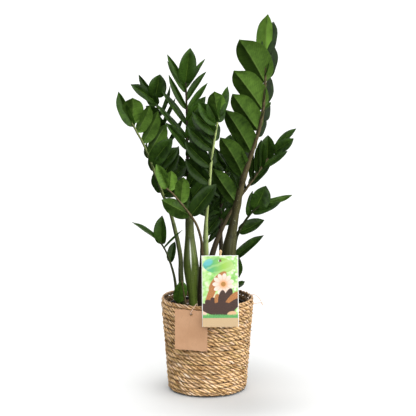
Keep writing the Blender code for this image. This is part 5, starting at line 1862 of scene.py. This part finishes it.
def make_floor():
    shape = Shape()
    corners = ((-1, -1), (1, -1), (1, 1), (-1, 1))
    shape.faces.append(shape.ring([Vector((x, y, 0)) * FLOOR_HALF for x, y in corners]))
    finish = Finish("studio_floor")
    haze = finish.noise(finish.place(), 1.5, 2.0)
    right, back, _ = finish.parts(finish.place())
    # Painted shadow round the basket's foot, greyer to the right and front, and painted light to its left
    near = 1 - ((right * right + back * back) ** 0.5).ease(0.06, FLOOR_SHADOW_REACH)
    painted_shadow = near * (right.ease(-0.06, 0.10) * SHADOW_RIGHT + (1 - back.ease(-0.2, 0.0)) * SHADOW_FRONT)
    painted_light = near * (1 - right.ease(-0.2, -0.02)) * PAINTED_LIGHT_LEFT
    colour = finish.mix(haze, *FLOOR_TONES)
    paper = finish.drive({
        "Base Color": finish.times(colour, finish.grey(1 - painted_shadow + painted_light)),
        "Roughness": 0.6 + haze * 0.2,
    })
    floor = shape.piece("studio_floor", paper)
    floor.visible_diffuse = False
    floor.visible_glossy = False


def make_room():
    world = bpy.data.worlds.new("studio")
    bpy.context.scene.world = world
    world.use_nodes = True
    tree = Tree(world.node_tree)
    way = tree.add("ShaderNodeTexCoord", None, None, "Generated")
    facing, behind = (tree.add("ShaderNodeVectorMath", {"operation": "DOT_PRODUCT"},
                               {0: way, 1: tuple(aim)}, "Value")
                      for aim in (ROOM_AIM, ROOM_BACK_AIM))
    height = tree.add("ShaderNodeSeparateXYZ", None, {"Vector": way}, "Z")
    glow = ROOM_DIM + facing.ease(-0.1, 1.0) * ROOM_BRIGHT + behind.ease(0.2, 1.0) * ROOM_BACK
    glow = glow * (ROOM_BELOW + height.ease(-0.05, 0.05) * (1 - ROOM_BELOW))
    seen = tree.add("ShaderNodeLightPath", None, None, "Is Camera Ray")
    strength = glow + seen * (SEEN_WHITE - glow)
    background = world.node_tree.nodes["Background"]
    background.inputs["Color"].default_value = (1.0, 1.0, 1.0, 1)
    world.node_tree.links.new(strength.socket, background.inputs["Strength"])


def add_light(name, kind, energy, place, aim, **settings):
    light = bpy.data.lights.new(name, kind)
    light.energy = energy
    for key, value in settings.items():
        setattr(light, key, value)
    thing = add_to_scene(bpy.data.objects.new(name, light))
    thing.location = place
    thing.rotation_euler = (Vector(aim) - Vector(place)).to_track_quat("-Z", "Y").to_euler()


make_floor()
make_room()
add_light("strip_light", "AREA", STRIP_POWER, STRIP_PLACE, STRIP_AIM, shape="RECTANGLE", size=0.02,
          size_y=1.2)
bpy.context.scene.view_settings.view_transform = "Standard"
